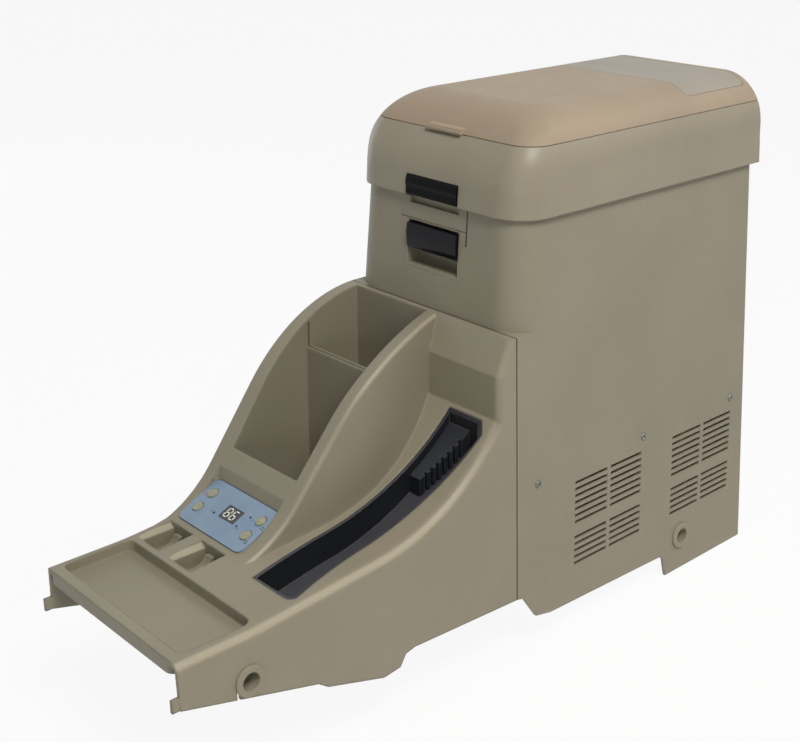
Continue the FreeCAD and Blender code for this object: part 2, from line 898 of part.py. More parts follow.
def bin_plan(name, front, rear, low, high, grow):
    """Plan of a bin between the left rim and the curved divider, grown outwards for its walls."""
    front = front - grow
    rear = rear + grow
    edge = s.divider_edge - s.divider_width + grow
    if rear.value > (seam - s.divider_bend).value > front.value:
        side = [(edge, front), (edge, seam - s.divider_bend, s.divider_bow, -1)]
        last = edge - s.divider_shift * (rear - seam + s.divider_bend) * (rear - seam + s.divider_bend) \
            / (s.divider_bend * s.divider_bend)
        side.append((last, rear))
    else:
        first = edge - s.divider_shift * (front - seam + s.divider_bend) * (front - seam + s.divider_bend) \
            / (s.divider_bend * s.divider_bend)
        last = edge - s.divider_shift * (rear - seam + s.divider_bend) * (rear - seam + s.divider_bend) \
            / (s.divider_bend * s.divider_bend)
        side = [(first, front, s.divider_bow, -1), (last, rear)]
    corners = side + [(bin_left(rear, grow), rear), (bin_left(front, grow), front)]
    return prism(name, "xy", corners, low, high)


sky = s.collar_top + 60
tray_right = half_at(s.deck_front) - s.tray_rim
tray_left = s.skin + 1 - left_at(s.deck_front)
tray_front = nose + s.tray_rim
tray_rear = tray_front + s.tray_length
tray_floor = s.deck_front - s.tray_depth
coin_y = nose + s.coin_place
coin_x = [-s.coin_middle - s.coin_pitch / 2, -s.coin_middle + s.coin_pitch / 2]
coin_floor = s.deck_front - s.coin_depth
panel_y = nose + s.panel_place
panel_turn = Rotation(Vector(1, 0, 0), s.panel_tilt.value)
panel_spot = (-s.panel_middle, panel_y, s.panel_height)
panel_half = s.panel_width / 2
panel_run = s.panel_length / 2 * cosine(s.panel_tilt)
panel_rise = s.panel_length / 2 * sine(s.panel_tilt)


def on_panel(thing, u, v, w):
    """Places a piece on the tilted panel plane: u across, v up the slope, w out of it."""
    lift = as_size(w)
    along = as_size(v)
    return put(thing, (as_size(u) - s.panel_middle,
                       panel_y + along * cosine(s.panel_tilt) - lift * sine(s.panel_tilt),
                       s.panel_height + along * sine(s.panel_tilt) + lift * cosine(s.panel_tilt)), panel_turn)


def panel_plate(name, margin, low, high):
    plate = prism(name, "xy", round_rect(margin - panel_half, panel_half - margin,
                                         margin - s.panel_length / 2, s.panel_length / 2 - margin,
                                         s.panel_corner), as_size(0), high - low)
    return on_panel(plate, 0, 0, low)


def recess_prism(name, grow):
    front_y = panel_y - panel_run - grow
    rear_y = panel_y + panel_run
    low = s.panel_height - panel_rise - grow
    high = s.panel_height + panel_rise - grow
    corners = [(front_y, low), (rear_y + grow, high), (rear_y + s.recess_back + grow, high + 34),
               (rear_y + s.recess_back + grow, sky), (front_y, sky)]
    return prism(name, "yz", corners, -s.panel_middle - panel_half - grow,
                 panel_half + grow - s.panel_middle)


pocket_low = -s.panel_pocket
cavities = [
    bin_plan("front_bin", bin_front, partition_front, s.front_bin_floor, sky, none),
    bin_plan("rear_bin", partition_rear, bin_rear, s.rear_bin_floor, sky, none),
    bin_plan("bin_mouth", bin_front, bin_rear, s.partition_top, sky, none),
    prism("tray_cavity", "xy", round_rect(tray_left, tray_right, tray_front, tray_rear, s.tray_corner),
          tray_floor, sky),
    recess_prism("panel_recess", none),
    panel_plate("panel_seat", -s.part_gap, -s.panel_thickness, as_size(3)),
    panel_plate("panel_pocket", s.panel_ledge, pocket_low, as_size(0)),
]
walls = [
    bin_plan("front_bin_walls", bin_front, partition_front, s.front_bin_floor - s.skin, sky, s.skin),
    bin_plan("rear_bin_walls", partition_rear, bin_rear, s.rear_bin_floor - s.skin, sky, s.skin),
    prism("tray_walls", "xy", round_rect(tray_left - s.skin, tray_right + s.skin, tray_front - s.tray_rim,
                                         tray_rear + s.skin, s.tray_corner), tray_floor - s.skin, sky),
    recess_prism("panel_walls", s.skin),
    panel_plate("panel_pocket_walls", s.panel_ledge - s.skin, pocket_low - s.skin, as_size(1)),
    panel_plate("panel_seat_walls", -s.part_gap - s.skin, -s.panel_thickness - s.skin, as_size(1)),
]
for word, x in zip(("left", "right"), coin_x):
    x_span = (x - s.coin_width / 2, x + s.coin_width / 2)
    y_span = (coin_y - s.coin_length / 2, coin_y + s.coin_length / 2)
    cavities.append(box("coin_cavity_" + word, x_span, y_span, (coin_floor, sky)))
    lip = [(x_span[0] - s.coin_lip, s.deck_front + 2), (x_span[0] + 0.1, s.deck_front + 2 - s.coin_lip),
           (x_span[0] + 0.1, sky), (x_span[0] - s.coin_lip, sky)]
    cavities.append(prism("coin_lip_" + word, "xz", lip, y_span[0], y_span[1]))
    walls.append(box("coin_walls_" + word, (x_span[0] - s.skin, x_span[1] + s.skin),
                     (y_span[0] - s.skin, y_span[1] + s.skin), (coin_floor - s.skin, sky)))

# Brake well: plan between two bowed edges, cut through the deck and filled by a dark liner

well_front = nose + s.well_front
well_rear = seam - s.well_rear


def well_plan(name, inset, low, high):
    front = well_front + inset
    rear = well_rear - inset
    corner = s.well_corner
    corners = [(s.well_front_left + inset, front), (s.well_front_right - inset - corner, front, corner, -1),
               (s.well_front_right - inset, front + corner, s.well_right_bow, 1),
               (s.well_rear_right - inset, rear - corner),
               (s.well_rear_right - inset - corner, rear),
               (s.well_rear_left + inset, rear, s.well_left_bow, -1)]
    return prism(name, "xy", corners, low, high)


def deck_band(name, top, bottom):
    """Band between two copies of the deck line, sunk by top and by bottom."""
    rear = seam - s.skin
    upper_line = deck_line(top, rear, nose)
    lower_line = deck_line(bottom, rear, nose)
    back = [(nose, lower_line[4][1]), (ramp_y - blend_run, lower_line[3][1], s.ramp_blend, -1),
            (blend_end_y, lower_line[2][1]), (ramp_end_y, lower_line[1][1], s.sweep_radius, -1),
            (rear, lower_line[0][1])]
    return prism(name, "yz", upper_line + back, -reach, reach)


cavities.append(well_plan("well_hole", none, s.deck_front - 30, sky))
tub_walls = common("tub_walls", fuse("tub_stack", *walls), console_mass)
console_skin = cut("console_skin", console_round, cut("hollow", console_void, tub_walls))
tabs = []
for word, x in (("right", half_at(s.sill_nose + s.tab_height) - s.skin),
                ("left", -left_at(s.sill_nose + s.tab_height))):
    tabs.append(box("tab_" + word, (x, x + s.skin), (nose - s.tab_reach, nose + 12),
                    (s.sill_nose + 0.5, s.sill_nose + s.tab_height)))
console = cut("console", fuse("console_tabbed", console_skin, *tabs), *cavities, underside,
              group("console_holes", *console_holes))
node(console, "console_shell")

liner_clear = s.part_gap
well_band = common("well_band", well_plan("well_outer", liner_clear, s.deck_front - 60, sky),
                   deck_band("well_depth_band", as_size(0.6), s.well_depth + s.well_wall))
well_hollow = common("well_hollow", well_plan("well_inner", liner_clear + s.well_wall, s.deck_front - 60, sky),
                     deck_band("well_room", as_size(-60), s.well_depth))
block_front = well_rear - s.well_block_length
block_slant = (s.well_block_rear - s.well_block_front) / s.well_block_length
block_plan = prism("well_block_room", "xy",
                   [(none, block_front), (s.well_block_front, block_front), (s.well_block_rear, well_rear),
                    (s.well_block_rear, well_rear + s.skin), (none, well_rear + s.skin)],
                   s.deck_front - 60, sky)
well_block = common("well_block", well_plan("well_block_plan", liner_clear + s.well_wall + s.part_gap,
                                            s.deck_front - 60, sky),
                    deck_band("well_block_band", s.well_block_depth, s.well_depth - s.part_gap), block_plan)
teeth = []
for number in range(int((s.well_block_length / s.well_tooth_pitch).value) - 2):
    tooth_y = block_front + s.well_tooth_pitch * (number + 1)
    tooth_x = s.well_block_front + block_slant * (tooth_y - block_front)
    teeth.append(box("well_tooth_%d" % number, (tooth_x - s.well_tooth_depth, tooth_x + s.well_tooth_pitch),
                     (tooth_y, tooth_y + s.well_tooth), (s.deck_front - 60, sky)))
well_block = cut("well_block_toothed", well_block, group("well_teeth", *teeth))
well = cut("well_tub", well_band, well_hollow)
node(well, "brake_well_liner")
node(well_block, "brake_well_block")

# Coin cradles: sprung half rounds with raised edges that stand on the pocket floors


def cradle_bow(name, thickness, left, right):
    half = s.coin_length / 2 - s.part_gap
    tip = coin_floor + s.cradle_drop
    outer = (half * half + s.cradle_drop * s.cradle_drop) / (s.cradle_drop * 2)
    inner = outer - thickness
    middle = coin_floor + outer
    inner_half = square_root(inner * inner - (middle - tip) * (middle - tip))
    foot = s.cradle_foot
    foot_rise = outer - square_root(outer * outer - foot * foot)
    corners = [(coin_y - half, tip, outer, -1), (coin_y - foot, coin_floor + foot_rise),
               (coin_y - foot, coin_floor), (coin_y + foot, coin_floor),
               (coin_y + foot, coin_floor + foot_rise, outer, -1), (coin_y + half, tip),
               (coin_y + inner_half, tip, inner, 1), (coin_y, middle - inner, inner, 1),
               (coin_y - inner_half, tip)]
    return prism(name, "yz", corners, left, right)


for word, x in zip(("left", "right"), coin_x):
    left = x - s.cradle_shift
    right = left + s.cradle_width
    cradle = fuse("cradle_" + word, cradle_bow("cradle_bow_" + word, s.cradle_thickness, left, right),
                  cradle_bow("cradle_rib_left_" + word, s.cradle_thickness + s.cradle_rib, left,
                             left + s.cradle_rib_width),
                  cradle_bow("cradle_rib_right_" + word, s.cradle_thickness + s.cradle_rib,
                             right - s.cradle_rib_width, right))
    node(cradle, "coin_cradle_" + word)

# Control panel

button_spots = {"power": (-s.button_side, s.button_upper), "mode": (-s.button_side, -s.button_lower),
                "up": (s.button_side, s.button_upper), "down": (s.button_side, -s.button_lower)}
lamp_spots = [(-s.display_width * 0.7, -s.display_length * 0.34),
              (s.display_width * 1.1, s.display_length * 0.55),
              (s.display_width * 0.9, -s.display_length * 0.34)]
face = panel_plate("panel_face", none, -s.panel_thickness, none)
panel_cuts = []
for word, (u, v) in button_spots.items():
    hole = cylinder("button_hole_" + word, "z", s.button_radius + s.part_gap, (0, 0, 0), 8)
    panel_cuts.append(on_panel(hole, u, v, -6))
for number, (u, v) in enumerate(lamp_spots):
    hole = cylinder("lamp_hole_%d" % number, "z", s.lamp_radius + s.running_gap, (0, 0, 0), 8)
    panel_cuts.append(on_panel(hole, u, v, -6))
window = box("display_hole", (-s.display_width / 2, s.display_width / 2),
             (-s.display_length / 2, s.display_length / 2), (0, 8))
panel_cuts.append(on_panel(window, s.display_offset - s.display_width / 2, -s.display_length / 2 + 1.8, -6))
node(cut("panel", face, group("panel_cuts", *panel_cuts)), "control_panel")
glass = box("display_glass", (0, s.display_width), (0, s.display_length),
            (0, s.panel_thickness + 0.3))
node(on_panel(glass, s.display_offset - s.display_width / 2, -s.display_length / 2 + 1.8,
              -s.panel_thickness), "display_window")
lamps = []
for number, (u, v) in enumerate(lamp_spots):
    lamps.append(on_panel(cylinder("lamp_%d" % number, "z", s.lamp_radius, (0, 0, 0), s.panel_thickness + 0.3),
                          u, v, -s.panel_thickness))
node(group("lamps", *lamps), "indicator_lamps")
collar_low = s.panel_thickness + 1.2
for word, (u, v) in button_spots.items():
    wide = s.button_radius + 1.4
    round_off = as_size(0.8)
    profile = [(none, -collar_low), (wide, -collar_low), (wide, -collar_low + 1),
               (s.button_radius, -collar_low + 1), (s.button_radius, s.button_reach - round_off, round_off, -1),
               (s.button_radius - round_off, s.button_reach), (none, s.button_reach)]
    node(on_panel(turned("button_" + word, profile), u, v, 0), "button_" + word)
board_low = s.panel_pocket
board = [panel_plate("board_plate", s.panel_ledge + 1, -board_low, 1.6 - board_low)]
for word, (u, v) in button_spots.items():
    board.append(on_panel(cylinder("switch_" + word, "z", as_size(3), (0, 0, 0), 3.8), u, v, 1 - board_low))
board.append(on_panel(box("display_block", (0, s.display_width), (0, s.display_length),
                          (0, s.panel_pocket - s.panel_thickness - 1)),
                      s.display_offset - s.display_width / 2, -s.display_length / 2 + 1.8, 1 - board_low))
node(fuse("board", *board), "control_board")

# Fixing bushes in the side walls

barrel = s.bush_barrel
flange_edge = as_size(1.2)
bush_profile = [
    (s.bush_screw, -s.bush_depth), (barrel, -s.bush_depth), (barrel, none), (s.bush_radius, none),
    (s.bush_radius, s.bush_reach - flange_edge, flange_edge, -1),
    (s.bush_radius - flange_edge, s.bush_reach), (s.bush_well, s.bush_reach),
    (s.bush_well, s.bush_floor - s.bush_depth), (s.bush_screw, s.bush_floor - s.bush_depth)]
for side, word in ((1, "right"), (-1, "left")):
    place, turn = side_frame(side, rear_bush_y, s.rear_bush_height)
    node(put(turned("bush_rear_" + word, bush_profile), place, turn), "bush_rear_" + word)
    if side > 0:
        place, turn = side_frame(side, front_bush_y, s.front_bush_height)
    else:
        place = (-left_at(s.front_bush_height), front_bush_y, s.front_bush_height)
    node(put(turned("bush_front_" + word, bush_profile), place, turn), "bush_front_" + word)

screws = []
for side, word in ((1, "right"), (-1, "left")):
    for number, y in enumerate(screw_y):
        place, turn = side_frame(side, y, s.screw_height)
        crown_edge = s.screw_head_height * 0.6
        profile = [(none, 0.3 - s.skin), (s.screw_shank, 0.3 - s.skin), (s.screw_shank, none),
                   (s.screw_head, none), (s.screw_head, s.screw_head_height - crown_edge, crown_edge, -1),
                   (s.screw_head - crown_edge, s.screw_head_height), (none, s.screw_head_height)]
        screws.append(put(turned("screw_%s_%d" % (word, number), profile), place, turn))
node(group("screws", *screws), "casing_screws")

# Cooled box: liner, evaporator plate, insulation and the steel floor under it

rim_floor = rim - s.rim_step
cavity_front = (front_top + rear_top) / 2 - s.cavity_length / 2
cavity_rear = cavity_front + s.cavity_length
cavity_half = s.cavity_width / 2


def cavity_prism(name, grow, low, high, tighten=0.0, corner=None):
    radius = corner if corner is not None else s.cavity_corner + grow - tighten
    return prism(name, "xy", round_rect(-cavity_half - grow, cavity_half + grow, cavity_front - grow,
                                        cavity_rear + grow, radius), low, high)


def cabinet(name, low, high, inset):
    """Block that fills the casing between two levels, with corners a little rounder than the casing's."""
    block = fillet(name + "_front", casing_wedge(name + "_block", low, high, inset),
                   s.lid_corner - s.lid_overhang, front_upright)
    return fillet(name, block, s.rear_corner, rear_upright)


liner_low = s.cavity_floor - s.liner_wall
liner = cut("liner", cavity_prism("liner_tub", s.liner_wall, liner_low, rim_floor),
            cavity_prism("liner_room", none, s.cavity_floor, rim_floor + 5))
node(liner, "fridge_liner")
rim_frame = cut("rim_frame", cabinet("rim_frame_plate", rim_floor - s.flange, rim_floor, s.skin),
                cavity_prism("rim_frame_room", s.liner_wall, rim_floor - s.flange - 1, rim_floor + 5, 0.5))
latch_room = box("latch_room", (-latch_half - 0.5, latch_half + 0.5), (seam - 5, latch_back + 0.5),
                 (s.latch_low - s.skin - 0.5, lid_plane + 5))
node(cut("rim_frame_latched", rim_frame, latch_room), "liner_rim_frame")
coil_grow = s.liner_wall + s.coil_plate
coil = cut("coil", cavity_prism("coil_outer", coil_grow, s.coil_low, s.coil_top),
           cavity_prism("coil_room", s.liner_wall, s.coil_low - 5, s.coil_top + 5, 0.5))
node(coil, "evaporator_plate")
floor_top = s.floor_level + s.floor_plate
foam = common("foam_upright", cabinet("foam", floor_top, rim_floor - s.flange, s.skin + s.floor_plate),
              box("foam_bounds", (-reach, reach), (seam + s.skin + s.floor_plate, rear_floor),
                  (s.floor_level, lid_plane)))
foam = cut("foam_room", foam, cavity_prism("foam_liner_room", s.liner_wall, liner_low, lid_plane, 0.5),
           cavity_prism("foam_coil_room", coil_grow, s.coil_low, s.coil_top, 0.5), latch_room)
node(foam, "cabinet_insulation")
floor_pan = cut("floor_pan",
                casing_wedge("floor_pan_block", s.floor_level, s.floor_level + s.floor_flange, s.skin,
                             seam + s.skin),
                casing_wedge("floor_pan_room", floor_top, s.floor_level + s.floor_flange + 1,
                             s.skin + s.floor_plate, seam + s.skin + s.floor_plate))


def sheet_corner(top, sheet):
    """Picks the two upright rear corners of a folded sheet tray, inside and outside."""
    back = rear_at(top) - s.skin - sheet * 2
    side = half_at(top) - s.skin - sheet * 2
    return lambda middle, edge: upright(edge) and middle.y > back.value and abs(middle.x) > side.value


floor_pan = fillet("floor_pan_round", floor_pan, s.rear_corner - s.skin,
                   sheet_corner(s.floor_level + s.floor_flange, s.floor_plate))
node(floor_pan, "cabinet_floor")

# Latch: housing flush in the casing front, paddle on a pin, sprung shut

housing_top = rim - 0.5
paddle_face = front_at(s.paddle_pivot)
pivot_y = paddle_face + 2.2
pivot_gap = s.latch_pin_radius + s.running_gap
pin_half = latch_half - 2
housing_mass = common("housing_mass", casing_wedge("housing_front", s.latch_low - s.skin, housing_top, none),
                      fuse("housing_plan",
                           box("housing_plan_top", (-latch_half, latch_half), (seam - 5, latch_back),
                               (s.latch_plate_low, lid_plane)),
                           box("housing_plan_low", (-pocket_half - s.skin, pocket_half + s.skin),
                               (seam - 5, latch_back), (s.latch_low - s.skin, s.latch_plate_low))))
scoop = as_size(12)
room_corners = [(seam - 10, s.latch_low), (latch_back - s.skin - scoop, s.latch_low, scoop, -1),
                (latch_back - s.skin, s.latch_low + scoop), (latch_back - s.skin, s.paddle_top + 3),
                (pivot_y, s.paddle_top + 3), (paddle_face - 4, s.paddle_top + s.part_gap),
                (seam - 10, s.paddle_top + s.part_gap)]
housing_room = prism("housing_room", "yz", room_corners, -pocket_half, pocket_half)
slot_room = box("housing_slot", (-32, 32), (seam - 5, front_top + 4), (rim - 6.5, lid_plane + 5))
groove = box("housing_groove", (-latch_half - 1, latch_half + 1), (seam - 5, front_at(as_size(407)) + 0.7),
             (s.paddle_top + 3.4, s.paddle_top + 4.4))
pin_hole = cylinder("latch_pin_hole", "x", pivot_gap, (-pin_half, pivot_y, s.paddle_pivot), pin_half * 2)
node(cut("housing", housing_mass, housing_room, slot_room, groove, pin_hole), "latch_housing")

low_face = front_at(s.paddle_low) - 1.4
high_face = front_at(s.paddle_top) - s.paddle_reach
lean = s.paddle_thickness
boss = s.latch_pin_radius + 2
paddle_corners = [(high_face + 0.6, s.paddle_top), (high_face, s.paddle_top - 2, as_size(60), -1),
                  (low_face, s.paddle_low + 1.2), (low_face + 1.2, s.paddle_low),
                  (low_face + lean, s.paddle_low), (high_face + lean, s.paddle_pivot - boss),
                  (pivot_y + boss, s.paddle_pivot - boss), (pivot_y + boss, s.paddle_pivot + boss / 2),
                  (pivot_y, s.paddle_top)]
paddle = padded_body("latch_paddle", "YZ_Plane", paddle_corners, s.paddle_width, middle=True)
paddle_hole = cylinder("paddle_hole", "x", pivot_gap, (-paddle_half - 1, pivot_y, s.paddle_pivot),
                       s.paddle_width + 2)
node(cut("paddle", paddle, paddle_hole), "latch_paddle")
node(cylinder("latch_pin", "x", s.latch_pin_radius, (-pin_half, pivot_y, s.paddle_pivot), pin_half * 2),
     "latch_pin")

# Lid: one rounded block, split into the lid shell below and the armrest cover above


def lid_rear_at(level):
    return lid_rear - s.lid_rear_lean * (level - lid_plane)


def rolled_in(level, roll):
    """How far a lid face has come in at a level: its lean, and above the roll's start a round of that radius."""
    lean_in = s.lid_lean * (level - lid_plane)
    above = level - lid_top + roll
    if above.value <= 0:
        return lean_in
    return lean_in + roll - square_root(roll * roll - above * above)


def lid_wedge(name, low, high, inset):
    """Flat-sided block inside the lid's faces. Its front leans twice as far, to stay inside the front roll."""
    def plan(level):
        lean_in = s.lid_lean * (level - lid_plane) + inset
        return ((lean_in - s.lid_width / 2, s.lid_width / 2 - lean_in),
                (lid_front + lean_in * 2 - inset, lid_rear_at(level) - inset))
    low_x, low_y = plan(as_size(low))
    high_x, high_y = plan(as_size(high))
    return wedge(name, low, high, low_x, low_y, high_x, high_y)


def lid_section(number, level):
    """Plan of the lid at a level: side and front rolled in, front corners tighter towards the top."""
    half = s.lid_width / 2 - rolled_in(level, s.lid_side_roll)
    front = lid_front + rolled_in(level, s.lid_front_roll)
    rear = lid_rear + s.lid_front_roll
    share = (lid_top - level) / s.lid_height
    corner = s.lid_top_corner + (s.lid_corner - s.lid_top_corner) * square_root(share)
    corners = [(corner - half, front), (half - corner, front, corner, -1), (half, front + corner), (half, rear),
               (-half, rear), (-half, front + corner, corner, -1)]
    return outline("lid_section_%d" % number, "xy", level, corners)


def loft(name, sections):
    made = doc.addObject("Part::Loft", name)
    made.Sections = sections
    made.Solid = True
    return made


roll_start = lid_top - s.lid_front_roll
levels = [lid_top - s.lid_front_roll * (1 - sine(as_size(90) * number / 8)) for number in range(9)]
lid_band = loft("lid_band", [lid_section(20, lid_plane), lid_section(21, roll_start)])
lid_crown = loft("lid_crown", [lid_section(number, level) for number, level in enumerate(levels)])
lid_long = fuse("lid_long", lid_band, lid_crown)
rear_cut = prism("lid_rear_cut", "yz",
                 [(lid_front - s.skin, lid_plane - s.skin), (lid_rear_at(lid_plane - s.skin), lid_plane - s.skin),
                  (lid_rear_at(lid_top + s.skin), lid_top + s.skin), (lid_front - s.skin, lid_top + s.skin)],
                 -reach, reach)
lid_mass = common("lid_mass", lid_long, rear_cut)
split_half = s.part_gap / 2
lid_low_mass = common("lid_low_mass", lid_mass,
                      box("lid_low_room", (-reach, reach), (lid_front - 20, lid_rear + 20),
                          (lid_plane - 5, split - split_half)))
tray_low = split - s.armrest_tray_depth
foam_top = tray_low - s.skin
grip_half = s.grip_width / 2
grip_top = lid_plane + s.grip_height + 1
grip_back = lid_front + s.lid_lean * 2 * s.grip_height + s.skin
lid_room = fillet("lid_room", lid_wedge("lid_room_block", lid_plane - 5, foam_top, s.skin),
                  s.lid_corner - s.skin, front_upright)
armrest_tray = prism("armrest_tray", "xy",
                     round_rect(s.armrest_tray_margin + 6 - s.lid_width / 2,
                                s.lid_width / 2 - s.armrest_tray_margin - 6,
                                lid_front + s.armrest_tray_margin + 10,
                                lid_rear - s.armrest_tray_margin - 8, as_size(14)), tray_low, split + 20)
grip_room = box("grip_room", (-grip_half - 0.3, grip_half + 0.3), (lid_front - 10, grip_back),
                (lid_plane - 1, grip_top + 0.3))
node(cut("lid", lid_low_mass, lid_room, armrest_tray, grip_room), "lid_shell")

grip_front = lid_front - s.grip_reach
grip_corners = [(grip_front + 1.5, lid_plane + 1), (grip_back, lid_plane + 1), (grip_back, grip_top),
                (grip_front + 2.6, grip_top), (grip_front + 1.2, grip_top - 1.4),
                (grip_front, grip_top - 8, as_size(14), 1), (grip_front, lid_plane + 2.5)]
node(padded_body("lid_grip", "YZ_Plane", grip_corners, s.grip_width, middle=True), "lid_grip")

inner_front = as_size(4.5)
panel_top = lid_plane + s.inner_panel


def lid_fill(name, low, high):
    """Block inside the lid walls, clear of the grip and of the rounded corners."""
    block = lid_wedge(name + "_block", low, high, s.skin)
    block = fillet(name + "_round", block, s.lid_corner, front_upright)
    return cut(name, block, box(name + "_grip", (-grip_half - 1, grip_half + 1), (lid_front - 10, grip_back + 0.5),
                                (lid_plane - 10, grip_top + 1)))


node(lid_fill("lid_foam", panel_top, foam_top), "lid_insulation")
plug = cavity_prism("lid_plug", -as_size(5), lid_plane - s.plug_depth, lid_plane + 0.5, corner=s.plug_corner)
plug_room = cavity_prism("lid_plug_room", -as_size(14), lid_plane - s.plug_depth - 1,
                         lid_plane - s.plug_depth + 4, corner=s.plug_corner)
lid_plate = fuse("lid_panel_stack", lid_fill("lid_panel_plate", lid_plane, panel_top), plug)
node(cut("lid_panel", lid_plate, plug_room), "lid_inner_panel")
gasket_inner = as_size(1.5)
node(cut("gasket", cavity_prism("gasket_outer", gasket_inner + s.gasket_width, lid_plane - s.gasket_height,
                                lid_plane),
         cavity_prism("gasket_room", gasket_inner, lid_plane - s.gasket_height - 1, lid_plane + 1)), "lid_gasket")

armrest_mass = common("armrest_mass", lid_mass,
                      box("armrest_room", (-reach, reach), (lid_front - 20, lid_rear + 20),
                          (split + split_half, lid_top + 5)))
tab_front = lid_front + rolled_in(split, s.lid_front_roll) - s.finger_tab_reach
tab_round = as_size(2)
finger_tab = prism("finger_tab", "yz",
                   [(tab_front + 14, split + split_half), (tab_front + 14, split + 6),
                    (tab_front + tab_round, split + 4.5, tab_round, 1),
                    (tab_front, split + 4.5 - tab_round), (tab_front, split + split_half)],
                   -s.finger_tab_width / 2, s.finger_tab_width / 2)
hollow_top = lid_top - s.armrest_roof - s.hinge_cover_depth
hollow_step = hollow_top - s.hinge_cover_skirt
hollow_front = lid_front + rolled_in(hollow_top, s.lid_front_roll) + s.armrest_roof * 2
cover_half = s.hinge_cover_width / 2
cover_seat = cover_half - s.hinge_cover_rim


def hollow_stage(name, half, low, high):
    return prism(name, "xy", round_rect(-half, half, hollow_front, lid_rear_at(lid_top) - s.lid_corner / 2,
                                        s.lid_top_corner), low, high)


hollow_half = s.lid_width / 2 - rolled_in(hollow_top, s.lid_side_roll) - s.armrest_roof * 2
armrest_hollow = fuse("armrest_hollow",
                      hollow_stage("armrest_store_room", hollow_half, split - 1, hollow_step),
                      hollow_stage("armrest_roof_room", cover_seat - s.armrest_roof, hollow_step - 1, hollow_top))
cover_rear = lid_rear_at(lid_top) - 1
cover_front = cover_rear - s.hinge_cover_length
cover_low = lid_top - s.hinge_cover_depth
cover_foot = cover_low - s.hinge_cover_skirt


def cover_form(name, gap):
    """Plan of the cover, down to its skirts, less the seat between the skirts that it rests on."""
    plan = round_rect(gap - cover_half, cover_half - gap, cover_front + gap, cover_rear - 6 - gap, 7 - gap)
    seat = box(name + "_seat", (-cover_seat - gap, cover_seat + gap), (cover_front - 5, cover_rear + 5),
               (cover_foot - 1, cover_low))
    return cut(name + "_form", prism(name + "_plan", "xy", plan, cover_foot, lid_top + 5), seat)


cover_room = cover_form("hinge_cover_room", none)
node(cut("armrest", fuse("armrest_tabbed", armrest_mass, finger_tab), armrest_hollow, cover_room),
     "armrest_cover")
node(common("hinge_cover", lid_mass, cover_form("hinge_cover_plate", s.part_gap)), "hinge_cover")

# Hinges: each has a fixed leaf with two outer knuckles, a moving leaf with a middle knuckle, and a pin


def knuckle(name, x, axis_y, axis_z, radius):
    return cylinder(name, "x", radius, (x[0], axis_y, axis_z), x[1] - x[0])


def leaf(name, line, half, knuckles, axis_y, axis_z, barrel, pin_hole):
    """Plate along a side view line of corners, with its knuckles and the bore through them."""
    pieces = [prism(name + "_plate", "yz", line, -half, half)]
    for number, (x, web) in enumerate(knuckles):
        pieces.append(knuckle("%s_knuckle_%d" % (name, number), x, axis_y, axis_z, barrel))
        pieces.append(prism("%s_web_%d" % (name, number), "yz", web, x[0], x[1]))
    bore = cylinder(name + "_bore", "x", pin_hole, (-half - 5, axis_y, axis_z), half * 2 + 10)
    return cut(name, fuse(name + "_stack", *pieces), bore)


hinge_y = lid_rear + s.hinge_reach
hinge_z = lid_plane
outer_right = (s.knuckle_inner + s.part_gap, s.knuckle_outer)
outer_left = (-s.knuckle_outer, -s.knuckle_inner - s.part_gap)
inner_span = (-s.knuckle_inner, s.knuckle_inner)
plate = s.hinge_leaf
low_line = [(rear_at(s.hinge_leaf_low), s.hinge_leaf_low), (rear_at(s.hinge_leaf_low) + plate, s.hinge_leaf_low),
            (rear_at(s.hinge_leaf_top) + plate, s.hinge_leaf_top), (rear_at(s.hinge_leaf_top), s.hinge_leaf_top)]
low_web = [(rear_at(s.hinge_leaf_top - 8), s.hinge_leaf_top - 8),
           (rear_at(s.hinge_leaf_top - 8) + plate, s.hinge_leaf_top - 8),
           (hinge_y + 1.2, hinge_z - s.hinge_barrel + 0.7), (hinge_y - 1.6, hinge_z - s.hinge_barrel + 0.9),
           (rear_at(s.hinge_leaf_top) + 0.3, s.hinge_leaf_top)]
node(leaf("hinge_low", low_line, s.hinge_width / 2, [(outer_right, low_web), (outer_left, low_web)],
          hinge_y, hinge_z, s.hinge_barrel, s.hinge_pin_radius + s.running_gap), "lid_hinge_leaf_body")


high_line = [(lid_rear_at(s.hinge_lid_low), s.hinge_lid_low), (lid_rear_at(s.hinge_lid_low) + plate, s.hinge_lid_low),
             (lid_rear_at(s.hinge_lid_top) + plate, s.hinge_lid_top), (lid_rear_at(s.hinge_lid_top), s.hinge_lid_top)]
high_web = [(lid_rear_at(s.hinge_lid_low), s.hinge_lid_low), (lid_rear_at(lid_plane + 1.5) + 0.2, lid_plane + 1.5),
            (hinge_y, hinge_z + 2.2), (hinge_y + 1.5, hinge_z + 2.6),
            (lid_rear_at(s.hinge_lid_low + 3) + plate, s.hinge_lid_low + 3)]
node(leaf("hinge_high", high_line, s.knuckle_outer, [(inner_span, high_web)], hinge_y, hinge_z, s.hinge_barrel,
          s.hinge_pin_radius + s.running_gap), "lid_hinge_leaf_lid")
node(cylinder("lid_hinge_pin", "x", s.hinge_pin_radius, (-s.knuckle_outer, hinge_y, hinge_z), s.knuckle_outer * 2),
     "lid_hinge_pin")

